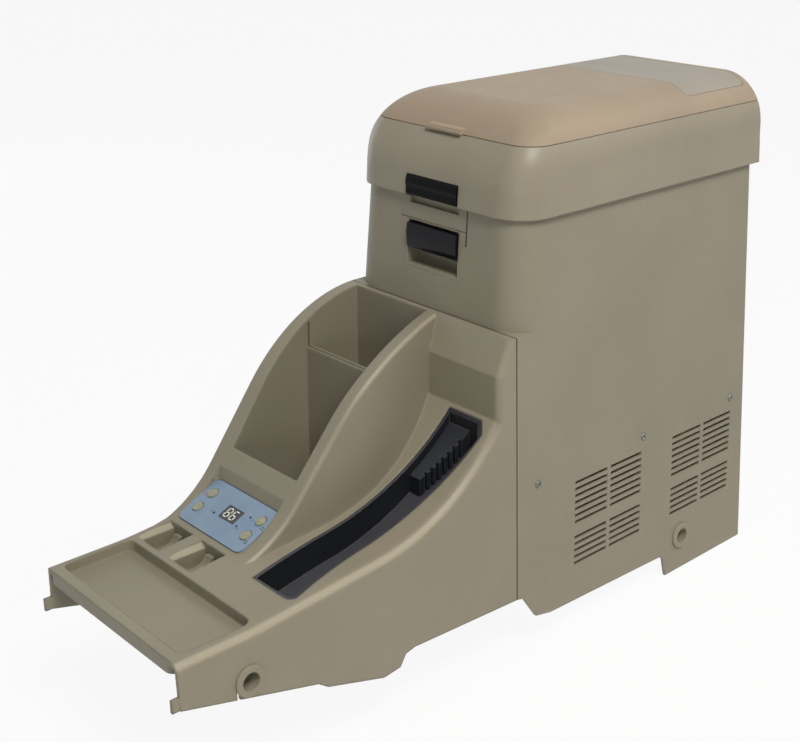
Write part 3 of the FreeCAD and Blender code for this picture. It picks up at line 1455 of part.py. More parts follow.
arm_y = lid_rear_at(split) + s.hinge_reach
arm_z = split
leaf_top = split + s.armrest_leaf_height
leaf_low = split - s.armrest_leaf_height
arm_low_line = [(lid_rear_at(leaf_low), leaf_low), (lid_rear_at(leaf_low) + 2, leaf_low),
                (lid_rear_at(split - 4) + 2, split - 4), (lid_rear_at(split - 4), split - 4)]
arm_low_web = [(lid_rear_at(split - 7), split - 7), (lid_rear_at(split - 7) + 2, split - 7),
               (arm_y + 0.8, arm_z - s.armrest_barrel + 0.6), (arm_y - 1.4, arm_z - s.armrest_barrel + 0.9),
               (lid_rear_at(split - 4), split - 4)]
arm_high_line = [(lid_rear_at(split + 4), split + 4), (lid_rear_at(split + 4) + 2, split + 4),
                 (lid_rear_at(leaf_top) + 2, leaf_top), (lid_rear_at(leaf_top), leaf_top)]
arm_high_web = [(lid_rear_at(split + 4), split + 4), (arm_y - 1.4, arm_z + s.armrest_barrel - 0.9),
                (arm_y + 0.8, arm_z + s.armrest_barrel - 0.6),
                (lid_rear_at(split + 7) + 2, split + 7), (lid_rear_at(split + 7), split + 7)]
node(leaf("arm_low", arm_low_line, s.knuckle_outer, [(outer_right, arm_low_web), (outer_left, arm_low_web)],
          arm_y, arm_z, s.armrest_barrel, s.armrest_pin_radius + s.running_gap), "armrest_hinge_leaf_lid")
node(leaf("arm_high", arm_high_line, s.knuckle_outer, [(inner_span, arm_high_web)], arm_y, arm_z, s.armrest_barrel,
          s.armrest_pin_radius + s.running_gap), "armrest_hinge_leaf_cover")
node(cylinder("armrest_hinge_pin", "x", s.armrest_pin_radius, (-s.knuckle_outer, arm_y, arm_z),
              s.knuckle_outer * 2), "armrest_hinge_pin")

# Machine compartment under the cooled box

pan_top = s.pan_level + s.pan_sheet
pan_front = rear_floor - s.pan_length
pan = cut("pan", casing_wedge("pan_block", s.pan_level, s.pan_level + s.pan_flange, s.skin, pan_front),
          casing_wedge("pan_room", pan_top, s.pan_level + s.pan_flange + 1, s.skin + s.pan_sheet,
                       pan_front + s.pan_sheet))
pan = fillet("pan_round", pan, s.rear_corner - s.skin, sheet_corner(s.pan_level + s.pan_flange, s.pan_sheet))
compressor_place = rear_floor - s.compressor_inset
bush_rooms = []
for side, word in ((1, "right"), (-1, "left")):
    place, turn = side_frame(side, rear_bush_y, s.rear_bush_height)
    room = cylinder("pan_bush_room_" + word, "z", s.bush_barrel + 1, place, 30)
    room.Placement = Placement(Vector(), turn)
    bush_rooms.append(put(room, sunk(place, side, 25)))
node(cut("pan_bushed", pan, group("pan_bush_rooms", *bush_rooms)), "base_pan")

can_low = pan_top + s.compressor_foot
can = s.compressor_radius
tall = s.compressor_height
dome = as_size(22)
can_profile = [(none, none), (can - 16, none), (can - 8, as_size(6)), (can, as_size(14)),
               (can, tall - dome, dome, -1), (can - dome, tall), (none, tall)]
can_body = put(turned("compressor_can", can_profile), (s.compressor_right, compressor_place, can_low + 2))
spread = s.foot_spread
cradle_plate = prism("compressor_plate", "xy",
                     round_rect(s.compressor_right - spread - 10, s.compressor_right + spread + 10,
                                compressor_place - spread - 10, compressor_place + spread + 10, as_size(9)),
                     can_low, can_low + 3)
node(fuse("compressor_stack", can_body, cradle_plate), "compressor")
feet = []
for number, (across, along) in enumerate(((-1, -1), (1, -1), (1, 1), (-1, 1))):
    foot_profile = [(none, none), (s.foot_radius_rubber, none), (s.foot_radius_rubber, as_size(3)),
                    (s.foot_radius_rubber - 2, as_size(5)), (s.foot_radius_rubber - 2, s.compressor_foot - 5),
                    (s.foot_radius_rubber, s.compressor_foot - 3), (s.foot_radius_rubber, s.compressor_foot),
                    (none, s.compressor_foot)]
    feet.append(put(turned("rubber_foot_%d" % number, foot_profile),
                    (s.compressor_right + spread * across, compressor_place + spread * along, pan_top)))
node(group("rubber_feet", *feet), "compressor_feet")

core_half = s.condenser_width / 2
core_front = pan_front + s.condenser_setback
core_rear = core_front + s.condenser_depth
fins = []
for number in range(13):
    x = -core_half + (s.condenser_width - s.fin_thickness) * number / 12
    fins.append(box("fin_%d" % number, (x, x + s.fin_thickness), (core_front, core_rear),
                    (pan_top, pan_top + s.condenser_height)))
for number in range(4):
    level = pan_top + s.condenser_height * (number + 0.5) / 4
    fins.append(cylinder("core_tube_%d" % number, "x", s.pipe_radius,
                         (-core_half - 4, (core_front + core_rear) / 2, level), s.condenser_width + 8))
node(fuse("condenser_stack", *fins), "condenser")

fan_front = core_rear + 6
fan_rear = fan_front + s.fan_depth
fan_z = pan_top + s.fan_size / 2
frame = prism("fan_frame", "xz", round_rect(-s.fan_size / 2, s.fan_size / 2, pan_top, pan_top + s.fan_size,
                                            as_size(6)), fan_front, fan_rear)
duct = cylinder("fan_duct", "y", s.fan_duct, (0, fan_front - 1, fan_z), s.fan_depth + 2)
frame = cut("fan_ring", frame, duct)
struts = []
for number in range(4):
    strut = box("fan_strut_%d" % number, (-2, 2), (0, 4), (s.fan_hub - 2, s.fan_duct + 2))
    turn = Rotation(Vector(0, 1, 0), 45 + 90 * number)
    strut.setExpression("Placement.Base.x", None)
    strut.setExpression("Placement.Base.y", None)
    strut.setExpression("Placement.Base.z", None)
    offset = turn.multVec(Vector(-2, 0, (s.fan_hub - 2).value))
    strut.Placement = Placement(Vector(offset.x, fan_front.value, fan_z.value + offset.z), turn)
    struts.append(strut)
motor_depth = as_size(10)
motor = cylinder("fan_motor_can", "y", s.fan_hub, (0, fan_front, fan_z), motor_depth)
motor_bore = cylinder("fan_motor_bore", "y", s.fan_shaft + s.running_gap, (0, fan_front + 2, fan_z), motor_depth)
node(cut("fan_shroud_stack", fuse("fan_frame_stack", frame, motor, *struts), motor_bore), "fan_shroud")
hub_front = fan_front + motor_depth + 0.6
hub_depth = s.fan_depth - motor_depth - 2
rotor = [cylinder("rotor_hub", "y", s.fan_hub, (0, hub_front, fan_z), hub_depth),
         cylinder("rotor_shaft", "y", s.fan_shaft, (0, fan_front + 2.6, fan_z), motor_depth)]
for number in range(7):
    blade = doc.addObject("Part::Box", "rotor_blade_%d" % number)
    bind(blade, "Length", as_size(2))
    bind(blade, "Width", hub_depth * 1.15)
    bind(blade, "Height", s.fan_blade_tip - s.fan_hub + 3)
    turn = Rotation(Vector(0, 1, 0), 360.0 / 7 * number) * Rotation(Vector(0, 0, 1), 32)
    centre = turn.multVec(Vector(-1, -hub_depth.value * 0.575, (s.fan_hub - 3).value))
    blade.Placement = Placement(Vector(centre.x, hub_front.value + hub_depth.value / 2 + centre.y,
                                       fan_z.value + centre.z), turn)
    rotor.append(blade)
node(fuse("rotor", *rotor), "fan_rotor")


def pipe(name, radius, points):
    """Tube of straight runs along the row axes, with round elbows."""
    pieces = []
    for number, (here, there) in enumerate(zip(points, points[1:])):
        axis = next(k for k in range(3) if abs(as_size(here[k]).value - as_size(there[k]).value) > 0.01)
        start = here if as_size(here[axis]).value < as_size(there[axis]).value else there
        stop = there if start is here else here
        pieces.append(cylinder("%s_run_%d" % (name, number), "xyz"[axis], radius, start,
                               as_size(stop[axis]) - start[axis]))
    for number, spot in enumerate(points[1:-1]):
        elbow = doc.addObject("Part::Sphere", "%s_elbow_%d" % (name, number))
        bind(elbow, "Radius", radius)
        pieces.append(put(elbow, spot))
    return fuse(name, *pieces)


core_y = (core_front + core_rear) / 2
top_tube = pan_top + s.condenser_height * 3.5 / 4
low_tube = pan_top + s.condenser_height * 0.5 / 4
side_run = -core_half - 18
can_left = s.compressor_right - can + 0.2
node(pipe("discharge_pipe", s.pipe_radius,
          [(-core_half - 4, core_y, top_tube), (side_run, core_y, top_tube),
           (side_run, compressor_place, top_tube), (can_left, compressor_place, top_tube)]), "discharge_pipe")
drier_front = core_rear + 40
drier_rear = drier_front + s.drier_length
node(pipe("liquid_pipe", s.pipe_radius,
          [(-core_half - 4, core_y, low_tube), (side_run, core_y, low_tube), (side_run, drier_front, low_tube)]),
     "liquid_pipe")
drier_profile = [(none, none), (s.pipe_radius + 1, none), (s.drier_radius, as_size(9)),
                 (s.drier_radius, s.drier_length - 9), (s.pipe_radius + 1, s.drier_length), (none, s.drier_length)]
node(put(turned("filter_drier", drier_profile), (side_run, drier_front, low_tube), AXES["y"]), "filter_drier")
node(pipe("feed_pipe", s.pipe_radius / 2,
          [(side_run, drier_rear, low_tube), (side_run, drier_rear + 16, low_tube),
           (side_run + 14, drier_rear + 16, low_tube), (side_run + 14, drier_rear + 16, s.floor_level)]),
     "feed_pipe")
can_right = s.compressor_right + can - 0.2
suction_x = s.compressor_right + can + 12
node(pipe("suction_pipe", s.pipe_radius + 1,
          [(can_right, compressor_place, can_low + tall / 2), (suction_x, compressor_place, can_low + tall / 2),
           (suction_x, compressor_place, s.floor_level)]), "suction_pipe")
module_left = s.compressor_right - can - 20 - s.module_width
module_front = compressor_place - s.module_length / 2
module = prism("module_case", "xy", round_rect(module_left, module_left + s.module_width, module_front,
                                               module_front + s.module_length, as_size(5)),
               pan_top, pan_top + s.module_height)
ribs = []
for number in range(5):
    x = module_left + s.module_width * (number + 1) / 6
    ribs.append(box("module_rib_%d" % number, (x - 1.2, x + 1.2), (module_front + 6, module_front + s.module_length - 6),
                    (pan_top + s.module_height - 1, pan_top + s.module_height + 7)))
node(fuse("module_stack", module, *ribs), "drive_module")

# Checks, then one file for each sub-part

doc.recompute()
for thing in doc.Objects:
    if "Invalid" in thing.State or "Error" in thing.State:
        raise RuntimeError("failed object: %s %s" % (thing.Name, thing.State))
os.makedirs("parts", exist_ok=True)
for thing in NODES:
    shape = thing.Shape
    if shape.isNull() or not shape.isValid() or shape.Volume <= 0:
        raise RuntimeError("bad shape: " + thing.Label)
    shape.exportStep("parts/%s.step" % thing.Label)
    print("%-26s %3d solids %10.1f mm3" % (thing.Label, len(shape.Solids), shape.Volume))
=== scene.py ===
"""Looks of the console refrigerator: finishes, printed panel, screw heads, light and camera.

Every length is in metres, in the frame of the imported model: the low tray looks towards -Y, the cooling
box stands at +Y and the brake lever side is +X.
"""

import math

import bmesh
import bpy
import numpy as np
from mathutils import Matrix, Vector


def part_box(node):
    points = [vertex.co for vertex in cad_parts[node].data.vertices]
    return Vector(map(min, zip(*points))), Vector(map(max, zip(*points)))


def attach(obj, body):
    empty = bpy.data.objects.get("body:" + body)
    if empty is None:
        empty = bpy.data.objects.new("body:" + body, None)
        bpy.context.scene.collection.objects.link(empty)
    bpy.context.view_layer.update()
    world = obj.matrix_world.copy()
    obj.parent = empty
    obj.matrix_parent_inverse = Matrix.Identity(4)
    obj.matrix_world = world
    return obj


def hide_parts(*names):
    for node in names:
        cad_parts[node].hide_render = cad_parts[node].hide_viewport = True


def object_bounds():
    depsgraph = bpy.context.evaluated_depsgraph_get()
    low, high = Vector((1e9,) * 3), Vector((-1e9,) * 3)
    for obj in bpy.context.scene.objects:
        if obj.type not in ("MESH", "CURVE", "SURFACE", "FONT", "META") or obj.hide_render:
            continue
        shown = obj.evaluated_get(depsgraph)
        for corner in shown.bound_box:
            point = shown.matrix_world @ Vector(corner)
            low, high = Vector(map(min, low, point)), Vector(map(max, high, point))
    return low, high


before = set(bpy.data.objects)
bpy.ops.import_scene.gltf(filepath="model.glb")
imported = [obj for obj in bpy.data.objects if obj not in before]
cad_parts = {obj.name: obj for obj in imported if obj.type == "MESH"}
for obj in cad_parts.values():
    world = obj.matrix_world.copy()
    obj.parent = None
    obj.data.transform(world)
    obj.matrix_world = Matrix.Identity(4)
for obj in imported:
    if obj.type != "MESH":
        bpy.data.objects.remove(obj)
cad_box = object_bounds()


# Colours are written as the eye sees them, from 0 to 255.
def paint(red, green, blue):
    """Display values to linear light: the usual curve, a straight foot below 0.04 and a 2.4 power above."""
    level = np.array([red, green, blue]) / 255
    light = np.where(level <= 0.04045, level / 12.92, ((level + 0.055) / 1.055) ** 2.4)
    return (*light.tolist(), 1.0)


class Wire:
    """One output in a finish. Arithmetic with numbers or other wires adds a Math node and gives its output."""

    def __init__(self, finish, socket):
        self.finish = finish
        self.socket = socket

    def __add__(self, other):
        return self.finish.math("ADD", self, other)

    def __radd__(self, other):
        return self.finish.math("ADD", other, self)

    def __sub__(self, other):
        return self.finish.math("SUBTRACT", self, other)

    def __rsub__(self, other):
        return self.finish.math("SUBTRACT", other, self)

    def __mul__(self, other):
        return self.finish.math("MULTIPLY", self, other)

    def __rmul__(self, other):
        return self.finish.math("MULTIPLY", other, self)

    def __abs__(self):
        return self.finish.math("ABSOLUTE", self)


# The Mix node keeps its colour sockets after those for numbers and vectors.
MIX_SHARE, MIX_FIRST, MIX_LAST = 0, 6, 7
MIX_RESULT = 2
EDGE_SAMPLES = 4


class Finish:
    """A material that is put together from wires round one shader. The world's light is made the same way."""

    def __init__(self, name, kind="materials", shader="BsdfPrincipled", out="OutputMaterial"):
        self.material = getattr(bpy.data, kind).new(name)
        self.material.use_nodes = True
        self.tree = self.material.node_tree
        self.tree.nodes.clear()
        self.shader = self.tree.nodes.new("ShaderNode" + shader)
        self.out = self.tree.nodes.new("ShaderNode" + out)
        self.tree.links.new(self.shader.outputs[0], self.out.inputs[0])

    def feed(self, socket, value):
        """A wire is linked to the socket and a plain number or colour is set on it."""
        if isinstance(value, Wire):
            self.tree.links.new(value.socket, socket)
        else:
            socket.default_value = value

    def node(self, kind, settings, sockets, output=0):
        """A node of that type: its settings first, then the values or links of its sockets."""
        made = self.tree.nodes.new(kind)
        for key, value in settings.items():
            setattr(made, key, value)
        for key, value in sockets.items():
            self.feed(made.inputs[key], value)
        return Wire(self, made.outputs[output])

    def math(self, operation, *values):
        return self.node("ShaderNodeMath", {"operation": operation}, dict(enumerate(values)))

    def scaled(self, vector, share):
        """A vector, or a colour without its alpha, times a number."""
        return self.node("ShaderNodeVectorMath", {"operation": "SCALE"}, {0: vector, "Scale": share})

    def place(self):
        """Where a point is on the resting object."""
        return self.node("ShaderNodeTexCoord", {}, {}, "Object")

    def axis(self, name):
        """One coordinate of the place, in metres."""
        return self.node("ShaderNodeSeparateXYZ", {}, {0: self.place()}, name)

    def stretched(self, scale):
        """The place, scaled along each axis."""
        return self.node("ShaderNodeMapping", {}, {"Vector": self.place(), "Scale": scale})

    def noise(self, scale, detail=2.0, rough=0.5, at=None, output="Fac"):
        sockets = {"Vector": at or self.place(), "Scale": scale, "Detail": detail, "Roughness": rough}
        return self.node("ShaderNodeTexNoise", {}, sockets, output)

    def cells(self, scale, at=None):
        """Distance to the middle of the nearest cell."""
        return self.node("ShaderNodeTexVoronoi", {}, {"Vector": at or self.place(), "Scale": scale}, "Distance")

    def ease(self, value, low, high, first=0.0, last=1.0):
        """Runs smoothly from first to last as the value goes from low to high, and stays there beyond."""
        sockets = {"Value": value, "From Min": low, "From Max": high, "To Min": first, "To Max": last}
        return self.node("ShaderNodeMapRange", {"interpolation_type": "SMOOTHSTEP"}, sockets)

    def blend(self, share, first, last):
        """A colour that goes from first to last with the share."""
        sockets = {MIX_SHARE: share, MIX_FIRST: first, MIX_LAST: last}
        return self.node("ShaderNodeMix", {"data_type": "RGBA"}, sockets, MIX_RESULT)

    def bump(self, height, depth, under=None):
        """Normals of a relief of that depth, over the normals under it if there are any."""
        sockets = {"Height": height, "Distance": depth, "Strength": 1.0}
        if under is not None:
            sockets["Normal"] = under
        return self.node("ShaderNodeBump", {}, sockets, "Normal")

    def soft_edges(self, radius):
        """Normals that run round each sharp edge as a small moulded radius does."""
        return self.node("ShaderNodeBevel", {"samples": EDGE_SAMPLES}, {"Radius": radius}, "Normal")

    def facing(self, name):
        """One part of the way that the resting surface faces, from -1 to 1."""
        way = self.node("ShaderNodeTexCoord", {}, {}, "Normal")
        return self.node("ShaderNodeSeparateXYZ", {}, {0: way}, name)

    def rims(self, radius):
        """How near a point is to an edge: 1 less the agreement of the rounded normals with the plain ones."""
        plain = self.node("ShaderNodeNewGeometry", {}, {}, "Normal")
        agree = {0: plain, 1: self.soft_edges(radius)}
        return 1 - self.node("ShaderNodeVectorMath", {"operation": "DOT_PRODUCT"}, agree, "Value")

    def shown(self):
        """1 where the backdrop is seen by the camera, in a mirror or through glass, and 0 where it only
        gives light."""
        camera, mirror, glass = [self.node("ShaderNodeLightPath", {}, {}, "Is %s Ray" % kind)
                                 for kind in ("Camera", "Glossy", "Transmission")]
        return self.math("MINIMUM", camera + mirror + glass, 1.0)

    def wear(self, **sockets):
        """Sets the shader's own sockets and gives the material."""
        for name, value in sockets.items():
            self.feed(self.shader.inputs[name.replace("_", " ")], value)
        return self.material


def grained_moulding(name, colour, depth, rough, grain=0.0015, edge=0.0012, spread=0.03, shine=0.42,
                     shoulder_highlight=0.0, gap_shadow=None):
    """Moulded plastic with a pebbled leather grain: rounded cells of two sizes, low broad waves from the tool,
    slightly darker in the valleys and slightly shinier on the worn tops. Shoulders that face up and to a side
    are painted paler as a painted highlight. Where a gap is given, as an axis, a place on it and a width, a
    painted shadow darkens the gap to the next moulding."""
    finish = Finish(name)
    sway = finish.scaled(finish.noise(260, 1, output="Color"), grain * 0.9)
    bent = finish.node("ShaderNodeVectorMath", {"operation": "ADD"}, {0: finish.place(), 1: sway})
    coarse = finish.cells(1 / grain, at=bent)
    fine = finish.cells(2.6 / grain, at=bent)
    pebbles = 1 - finish.ease(coarse, 0.1, 0.62) * 0.75 - finish.ease(fine, 0.1, 0.6) * 0.25
    waves = finish.ease(finish.noise(9), 0.3, 0.7, 1 - spread, 1 + spread)
    shade = waves * finish.ease(pebbles, 0.1, 0.7, 0.96, 1.01)
    # Painted highlight: shoulders that face up and to a side are made paler.
    if shoulder_highlight:
        shoulder = abs(finish.facing("X")) * finish.facing("Z") * 2
        shade = shade * finish.ease(shoulder, 0.5, 1.0, 1.0, 1 + shoulder_highlight)
    # Painted shadow: a dark band along the gap to the next moulding.
    if gap_shadow:
        axis, place, width = gap_shadow
        shade = shade * finish.ease(finish.axis(axis), place - width, place - width * 0.6, 1.0, 0.1)
    tint = finish.scaled(colour[:3], shade)
    worn = finish.ease(pebbles, 0.2, 0.9, rough + 0.12, rough - 0.03)
    gloss = worn + (finish.noise(35, 3) - 0.5) * 0.1
    normal = finish.bump(pebbles, depth, finish.soft_edges(edge))
    return finish.wear(Base_Color=tint, Roughness=gloss, Normal=normal, Specular_IOR_Level=shine)


def satin_moulding(name, colour, rough, edge=0.0012, spark=0.00004, shine=0.42):
    """Fine spark-eroded plastic: a very small even grain and faint cloudy gloss."""
    finish = Finish(name)
    grain = finish.noise(2600, 2, 0.6)
    shade = finish.ease(finish.noise(14, 3), 0.25, 0.75, 0.96, 1.035)
    tint = finish.scaled(colour[:3], shade)
    gloss = rough + (finish.noise(60, 4) - 0.5) * 0.12
    normal = finish.bump(grain, spark, finish.soft_edges(edge))
    return finish.wear(Base_Color=tint, Roughness=gloss, Normal=normal, Specular_IOR_Level=shine)


def well_moulding(name, wall, floor, rim, shine=0.25):
    """Black liner of the lever well: a fine even grain and scuffs along the well. What faces up is painted
    paler as painted light from above, and the rims are painted paler as a painted highlight."""
    finish = Finish(name)
    grain = finish.noise(2200, 2, 0.6)
    scuffs = finish.noise(90, 4, 0.6, at=finish.stretched((5, 0.6, 2)))
    # Painted light: what faces up is paler, as if lit from above, varied by the scuffs.
    level = finish.ease(finish.facing("Z"), 0.45, 0.9) * finish.ease(scuffs, 0.2, 0.7, 0.75, 1.0)
    # Painted highlight: the edges are made paler.
    edges = finish.ease(finish.rims(0.0009), 0.02, 0.2)
    tint = finish.blend(edges * 0.6, finish.blend(level, wall, floor), rim)
    gloss = 0.36 + level * 0.14 + (scuffs - 0.5) * 0.1
    normal = finish.bump(grain, 0.00004, finish.soft_edges(0.0008))
    return finish.wear(Base_Color=tint, Roughness=gloss, Normal=normal, Specular_IOR_Level=shine)


def key_cap(name, face, ring):
    """Soft key of clear-coated plastic: an even face, and a dark ring painted round its rim as painted shade.
    """
    finish = Finish(name)
    # Painted shade: a dark ring round the key's rim.
    rim = finish.ease(finish.rims(0.0016), 0.004, 0.12)
    cloud = finish.ease(finish.noise(300, 3), 0.25, 0.75)
    tint = finish.blend(rim, finish.blend(cloud * 0.4, face, ring), ring)
    normal = finish.bump(finish.noise(2400), 0.00002, finish.soft_edges(0.0007))
    return finish.wear(Base_Color=tint, Roughness=0.34 + cloud * 0.1, Normal=normal)


def gloss_moulding(name, colour, rough, edge=0.0006, shine=0.16):
    """Polished black plastic: faint ripple in the gloss and fine rubbing marks."""
    finish = Finish(name)
    rubbed = finish.noise(900, 3, at=finish.stretched((1, 6, 6)))
    tint = finish.blend(finish.ease(rubbed, 0.45, 0.8), colour, paint(15, 16, 18))
    gloss = rough + finish.ease(rubbed, 0.5, 0.8, 0.0, 0.16)
    normal = finish.bump(finish.noise(120), 0.00006, finish.soft_edges(edge))
    return finish.wear(Base_Color=tint, Roughness=gloss, Normal=normal, Specular_IOR_Level=shine)


def rolled_metal(name, colour, rough=0.34):
    """Drawn sheet metal: long fine brush lines and duller patches."""
    finish = Finish(name)
    lines = finish.noise(420, 3, 0.6, at=finish.stretched((1, 30, 30)))
    patch = finish.noise(22, 3)
    shade = finish.ease(patch, 0.25, 0.75, 0.88, 1.05) * finish.ease(lines, 0.2, 0.8, 0.93, 1.04)
    tint = finish.scaled(colour[:3], shade)
    gloss = rough + (lines - 0.5) * 0.18 + (patch - 0.5) * 0.14
    normal = finish.bump(lines, 0.00003, finish.soft_edges(0.0004))
    return finish.wear(Base_Color=tint, Roughness=gloss, Metallic=1.0, Normal=normal)


def drawn_copper(name):
    """Copper tube: warm metal that has dulled brown in patches."""
    finish = Finish(name)
    dull = finish.ease(finish.noise(70, 4), 0.4, 0.65)
    tint = finish.blend(dull, paint(206, 130, 86), paint(122, 78, 52))
    normal = finish.bump(finish.noise(600, 3), 0.00004)
    return finish.wear(Base_Color=tint, Roughness=0.24 + dull * 0.3, Metallic=1.0, Normal=normal)


def cast_foam(name, colour):
    """Blown foam: open cells and a mottled, yellowed skin."""
    finish = Finish(name)
    mottle = finish.ease(finish.noise(18, 3), 0.3, 0.7)
    tint = finish.blend(mottle, colour, paint(196, 176, 120))
    return finish.wear(Base_Color=tint, Roughness=0.9, Normal=finish.bump(finish.cells(700), 0.0003))


def dark_rubber(name, colour):
    """Moulded rubber: dull, with a dusty bloom and a fine grain."""
    finish = Finish(name)
    dust = finish.ease(finish.noise(40, 4), 0.45, 0.75)
    tint = finish.blend(dust, colour, paint(74, 74, 72))
    normal = finish.bump(finish.noise(1500), 0.00005, finish.soft_edges(0.0006))
    return finish.wear(Base_Color=tint, Roughness=0.62 + dust * 0.2, Normal=normal)


def enamel(name, colour):
    """Stoved black paint over pressed steel: orange-peel ripple and a soft gloss."""
    finish = Finish(name)
    tint = finish.blend(finish.ease(finish.noise(30, 3), 0.4, 0.8), colour, paint(58, 58, 60))
    gloss = 0.3 + finish.noise(60, 3) * 0.15
    peel = finish.bump(finish.noise(420), 0.00008)
    return finish.wear(Base_Color=tint, Roughness=gloss, Normal=peel, Coat_Weight=0.2)


def circuit_laminate(name):
    """Glass-fibre board: green lacquer over a pattern of darker copper runs."""
    finish = Finish(name)
    runs = finish.cells(260, at=finish.stretched((1, 1, 0.2)))
    tint = finish.blend(finish.ease(runs, 0.35, 0.4), paint(30, 96, 56), paint(18, 64, 40))
    gloss = 0.36 + finish.noise(200) * 0.1
    return finish.wear(Base_Color=tint, Roughness=gloss, Normal=finish.bump(runs, 0.00005))


def printed_film(name):
    """Blue-grey printed polyester film: an even ink with a faint cooler cloud, a fine matt tooth and a thin
    clear coat."""
    finish = Finish(name)
    cloud = finish.ease(finish.noise(30, 3), 0.3, 0.7)
    tint = finish.blend(cloud, paint(136, 158, 182), paint(124, 148, 176))
    tooth = finish.noise(2400)
    normal = finish.bump(tooth, 0.00002, finish.soft_edges(0.0005))
    return finish.wear(Base_Color=tint, Roughness=0.32 + tooth * 0.1, Normal=normal, Coat_Weight=0.15)


def smoked_glass(name):
    """Dark display window: near black, very smooth, with a trace of dust."""
    finish = Finish(name)
    dust = finish.ease(finish.noise(500, 4), 0.6, 0.8)
    tint = finish.blend(dust, paint(14, 16, 18), paint(40, 42, 44))
    return finish.wear(Base_Color=tint, Roughness=0.07 + dust * 0.2, Coat_Weight=0.5)


def lit_ink(name, colour, strength):
    """Ink lit from behind: a glow that is nearly even."""
    finish = Finish(name)
    tint = finish.scaled(colour[:3], finish.ease(finish.noise(400), 0.2, 0.8, 0.85, 1.0))
    return finish.wear(Base_Color=tint, Emission_Color=tint, Emission_Strength=strength, Roughness=0.4)


def flat_ink(name, colour):
    """Screen ink: dense, slightly uneven, a little shinier than the film."""
    finish = Finish(name)
    thin = finish.noise(1800, 3)
    tint = finish.blend(finish.ease(thin, 0.35, 0.8), colour, paint(70, 74, 82))
    return finish.wear(Base_Color=tint, Roughness=0.3 + thin * 0.15)


# Places and widths of the painted shadows along the seam to the casing and along the latch plate's edge.
SEAM = float(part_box("console_shell")[1][1])
SEAM_SHADOW_WIDTH = 0.0019
LATCH_EDGE = float(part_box("latch_housing")[1][0])
LATCH_SHADOW_WIDTH = 0.0022
BEIGE = paint(147, 140, 122)
# By the record's material slot
FINISHES = {
    "beige_plastic": grained_moulding("beige_moulding", BEIGE, depth=0.0001, rough=0.42),
    "armrest_skin": satin_moulding("armrest_satin", paint(163, 147, 128), rough=0.5, shine=0.2),
    "hinge_cover_plastic": satin_moulding("hinge_cover_satin", paint(160, 153, 143), rough=0.5, shine=0.22),
    "black_plastic": satin_moulding("black_moulding", paint(33, 35, 40), rough=0.4),
    "gloss_black": gloss_moulding("polished_black", paint(9, 10, 19), rough=0.1),
    "panel_film": printed_film("panel_film"),
    "display_glass": smoked_glass("display_window"),
    "lamp_plastic": satin_moulding("lamp_lens", paint(30, 34, 44), rough=0.25),
    "button_plastic": key_cap("button_cap", paint(170, 170, 140), paint(98, 106, 104)),
    "board": circuit_laminate("circuit_board"),
    "steel": rolled_metal("zinc_steel", paint(176, 178, 180)),
    "liner_plastic": satin_moulding("liner_white", paint(222, 224, 222), rough=0.32),
    "aluminium_sheet": rolled_metal("aluminium_sheet", paint(200, 203, 206), rough=0.4),
    "foam": cast_foam("insulation_foam", paint(226, 210, 160)),
    "rubber": dark_rubber("seal_rubber", paint(40, 40, 42)),
    "painted_steel": enamel("black_enamel", paint(26, 26, 28)),
    "copper": drawn_copper("copper_tube"),
}
# By node, where a piece looks different from the rest of its slot
OWN_FINISH = {
    "lid_shell": satin_moulding("lid_satin", paint(150, 142, 125), rough=0.42, shine=0.4),
    "lid_grip": gloss_moulding("grip_black", paint(5, 5, 8), rough=0.16, shine=0.08),
    # The console gets a painted highlight on its shoulders and a painted shadow along its seam to the casing.
    "console_shell": grained_moulding("console_moulding", BEIGE, depth=0.00003, rough=0.36, edge=0.003,
                                      shine=0.36, shoulder_highlight=0.42, gap_shadow=("Y", SEAM, SEAM_SHADOW_WIDTH)),
    # The latch plate gets a painted shadow along its edge by the casing.
    "latch_housing": grained_moulding("latch_moulding", BEIGE, depth=0.0001, rough=0.42,
                                      gap_shadow=("X", LATCH_EDGE, LATCH_SHADOW_WIDTH)),
    # The floor colour is painted light on what faces up and the rim colour a painted highlight on the edges.
    "brake_well_liner": well_moulding("well_liner", wall=paint(30, 32, 37), floor=paint(72, 72, 77),
                                      rim=paint(120, 121, 124)),
    "brake_well_block": well_moulding("well_block", wall=paint(34, 36, 41), floor=paint(58, 60, 65),
                                      rim=paint(104, 105, 109)),
}
FIGURE_INK = lit_ink("display_figures", paint(214, 214, 204), strength=0.25)
DARK_INK = flat_ink("dark_ink", paint(38, 42, 52))
RED_INK = flat_ink("red_ink", paint(176, 84, 92))
SCREW_STEEL = rolled_metal("screw_steel", paint(128, 126, 120), rough=0.3)


def dress(node):
    """Gives a CAD node its own finish, or else that of its slot. Its mesh and place stay as they are."""
    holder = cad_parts[node]
    slot = holder.data.materials[0].name.split(".")[0]
    finish = OWN_FINISH.get(node) or FINISHES[slot]
    for place in holder.material_slots:
        place.material = finish


MERGE_WITHIN = 1e-7
SHARP_ANGLE = math.radians(40)


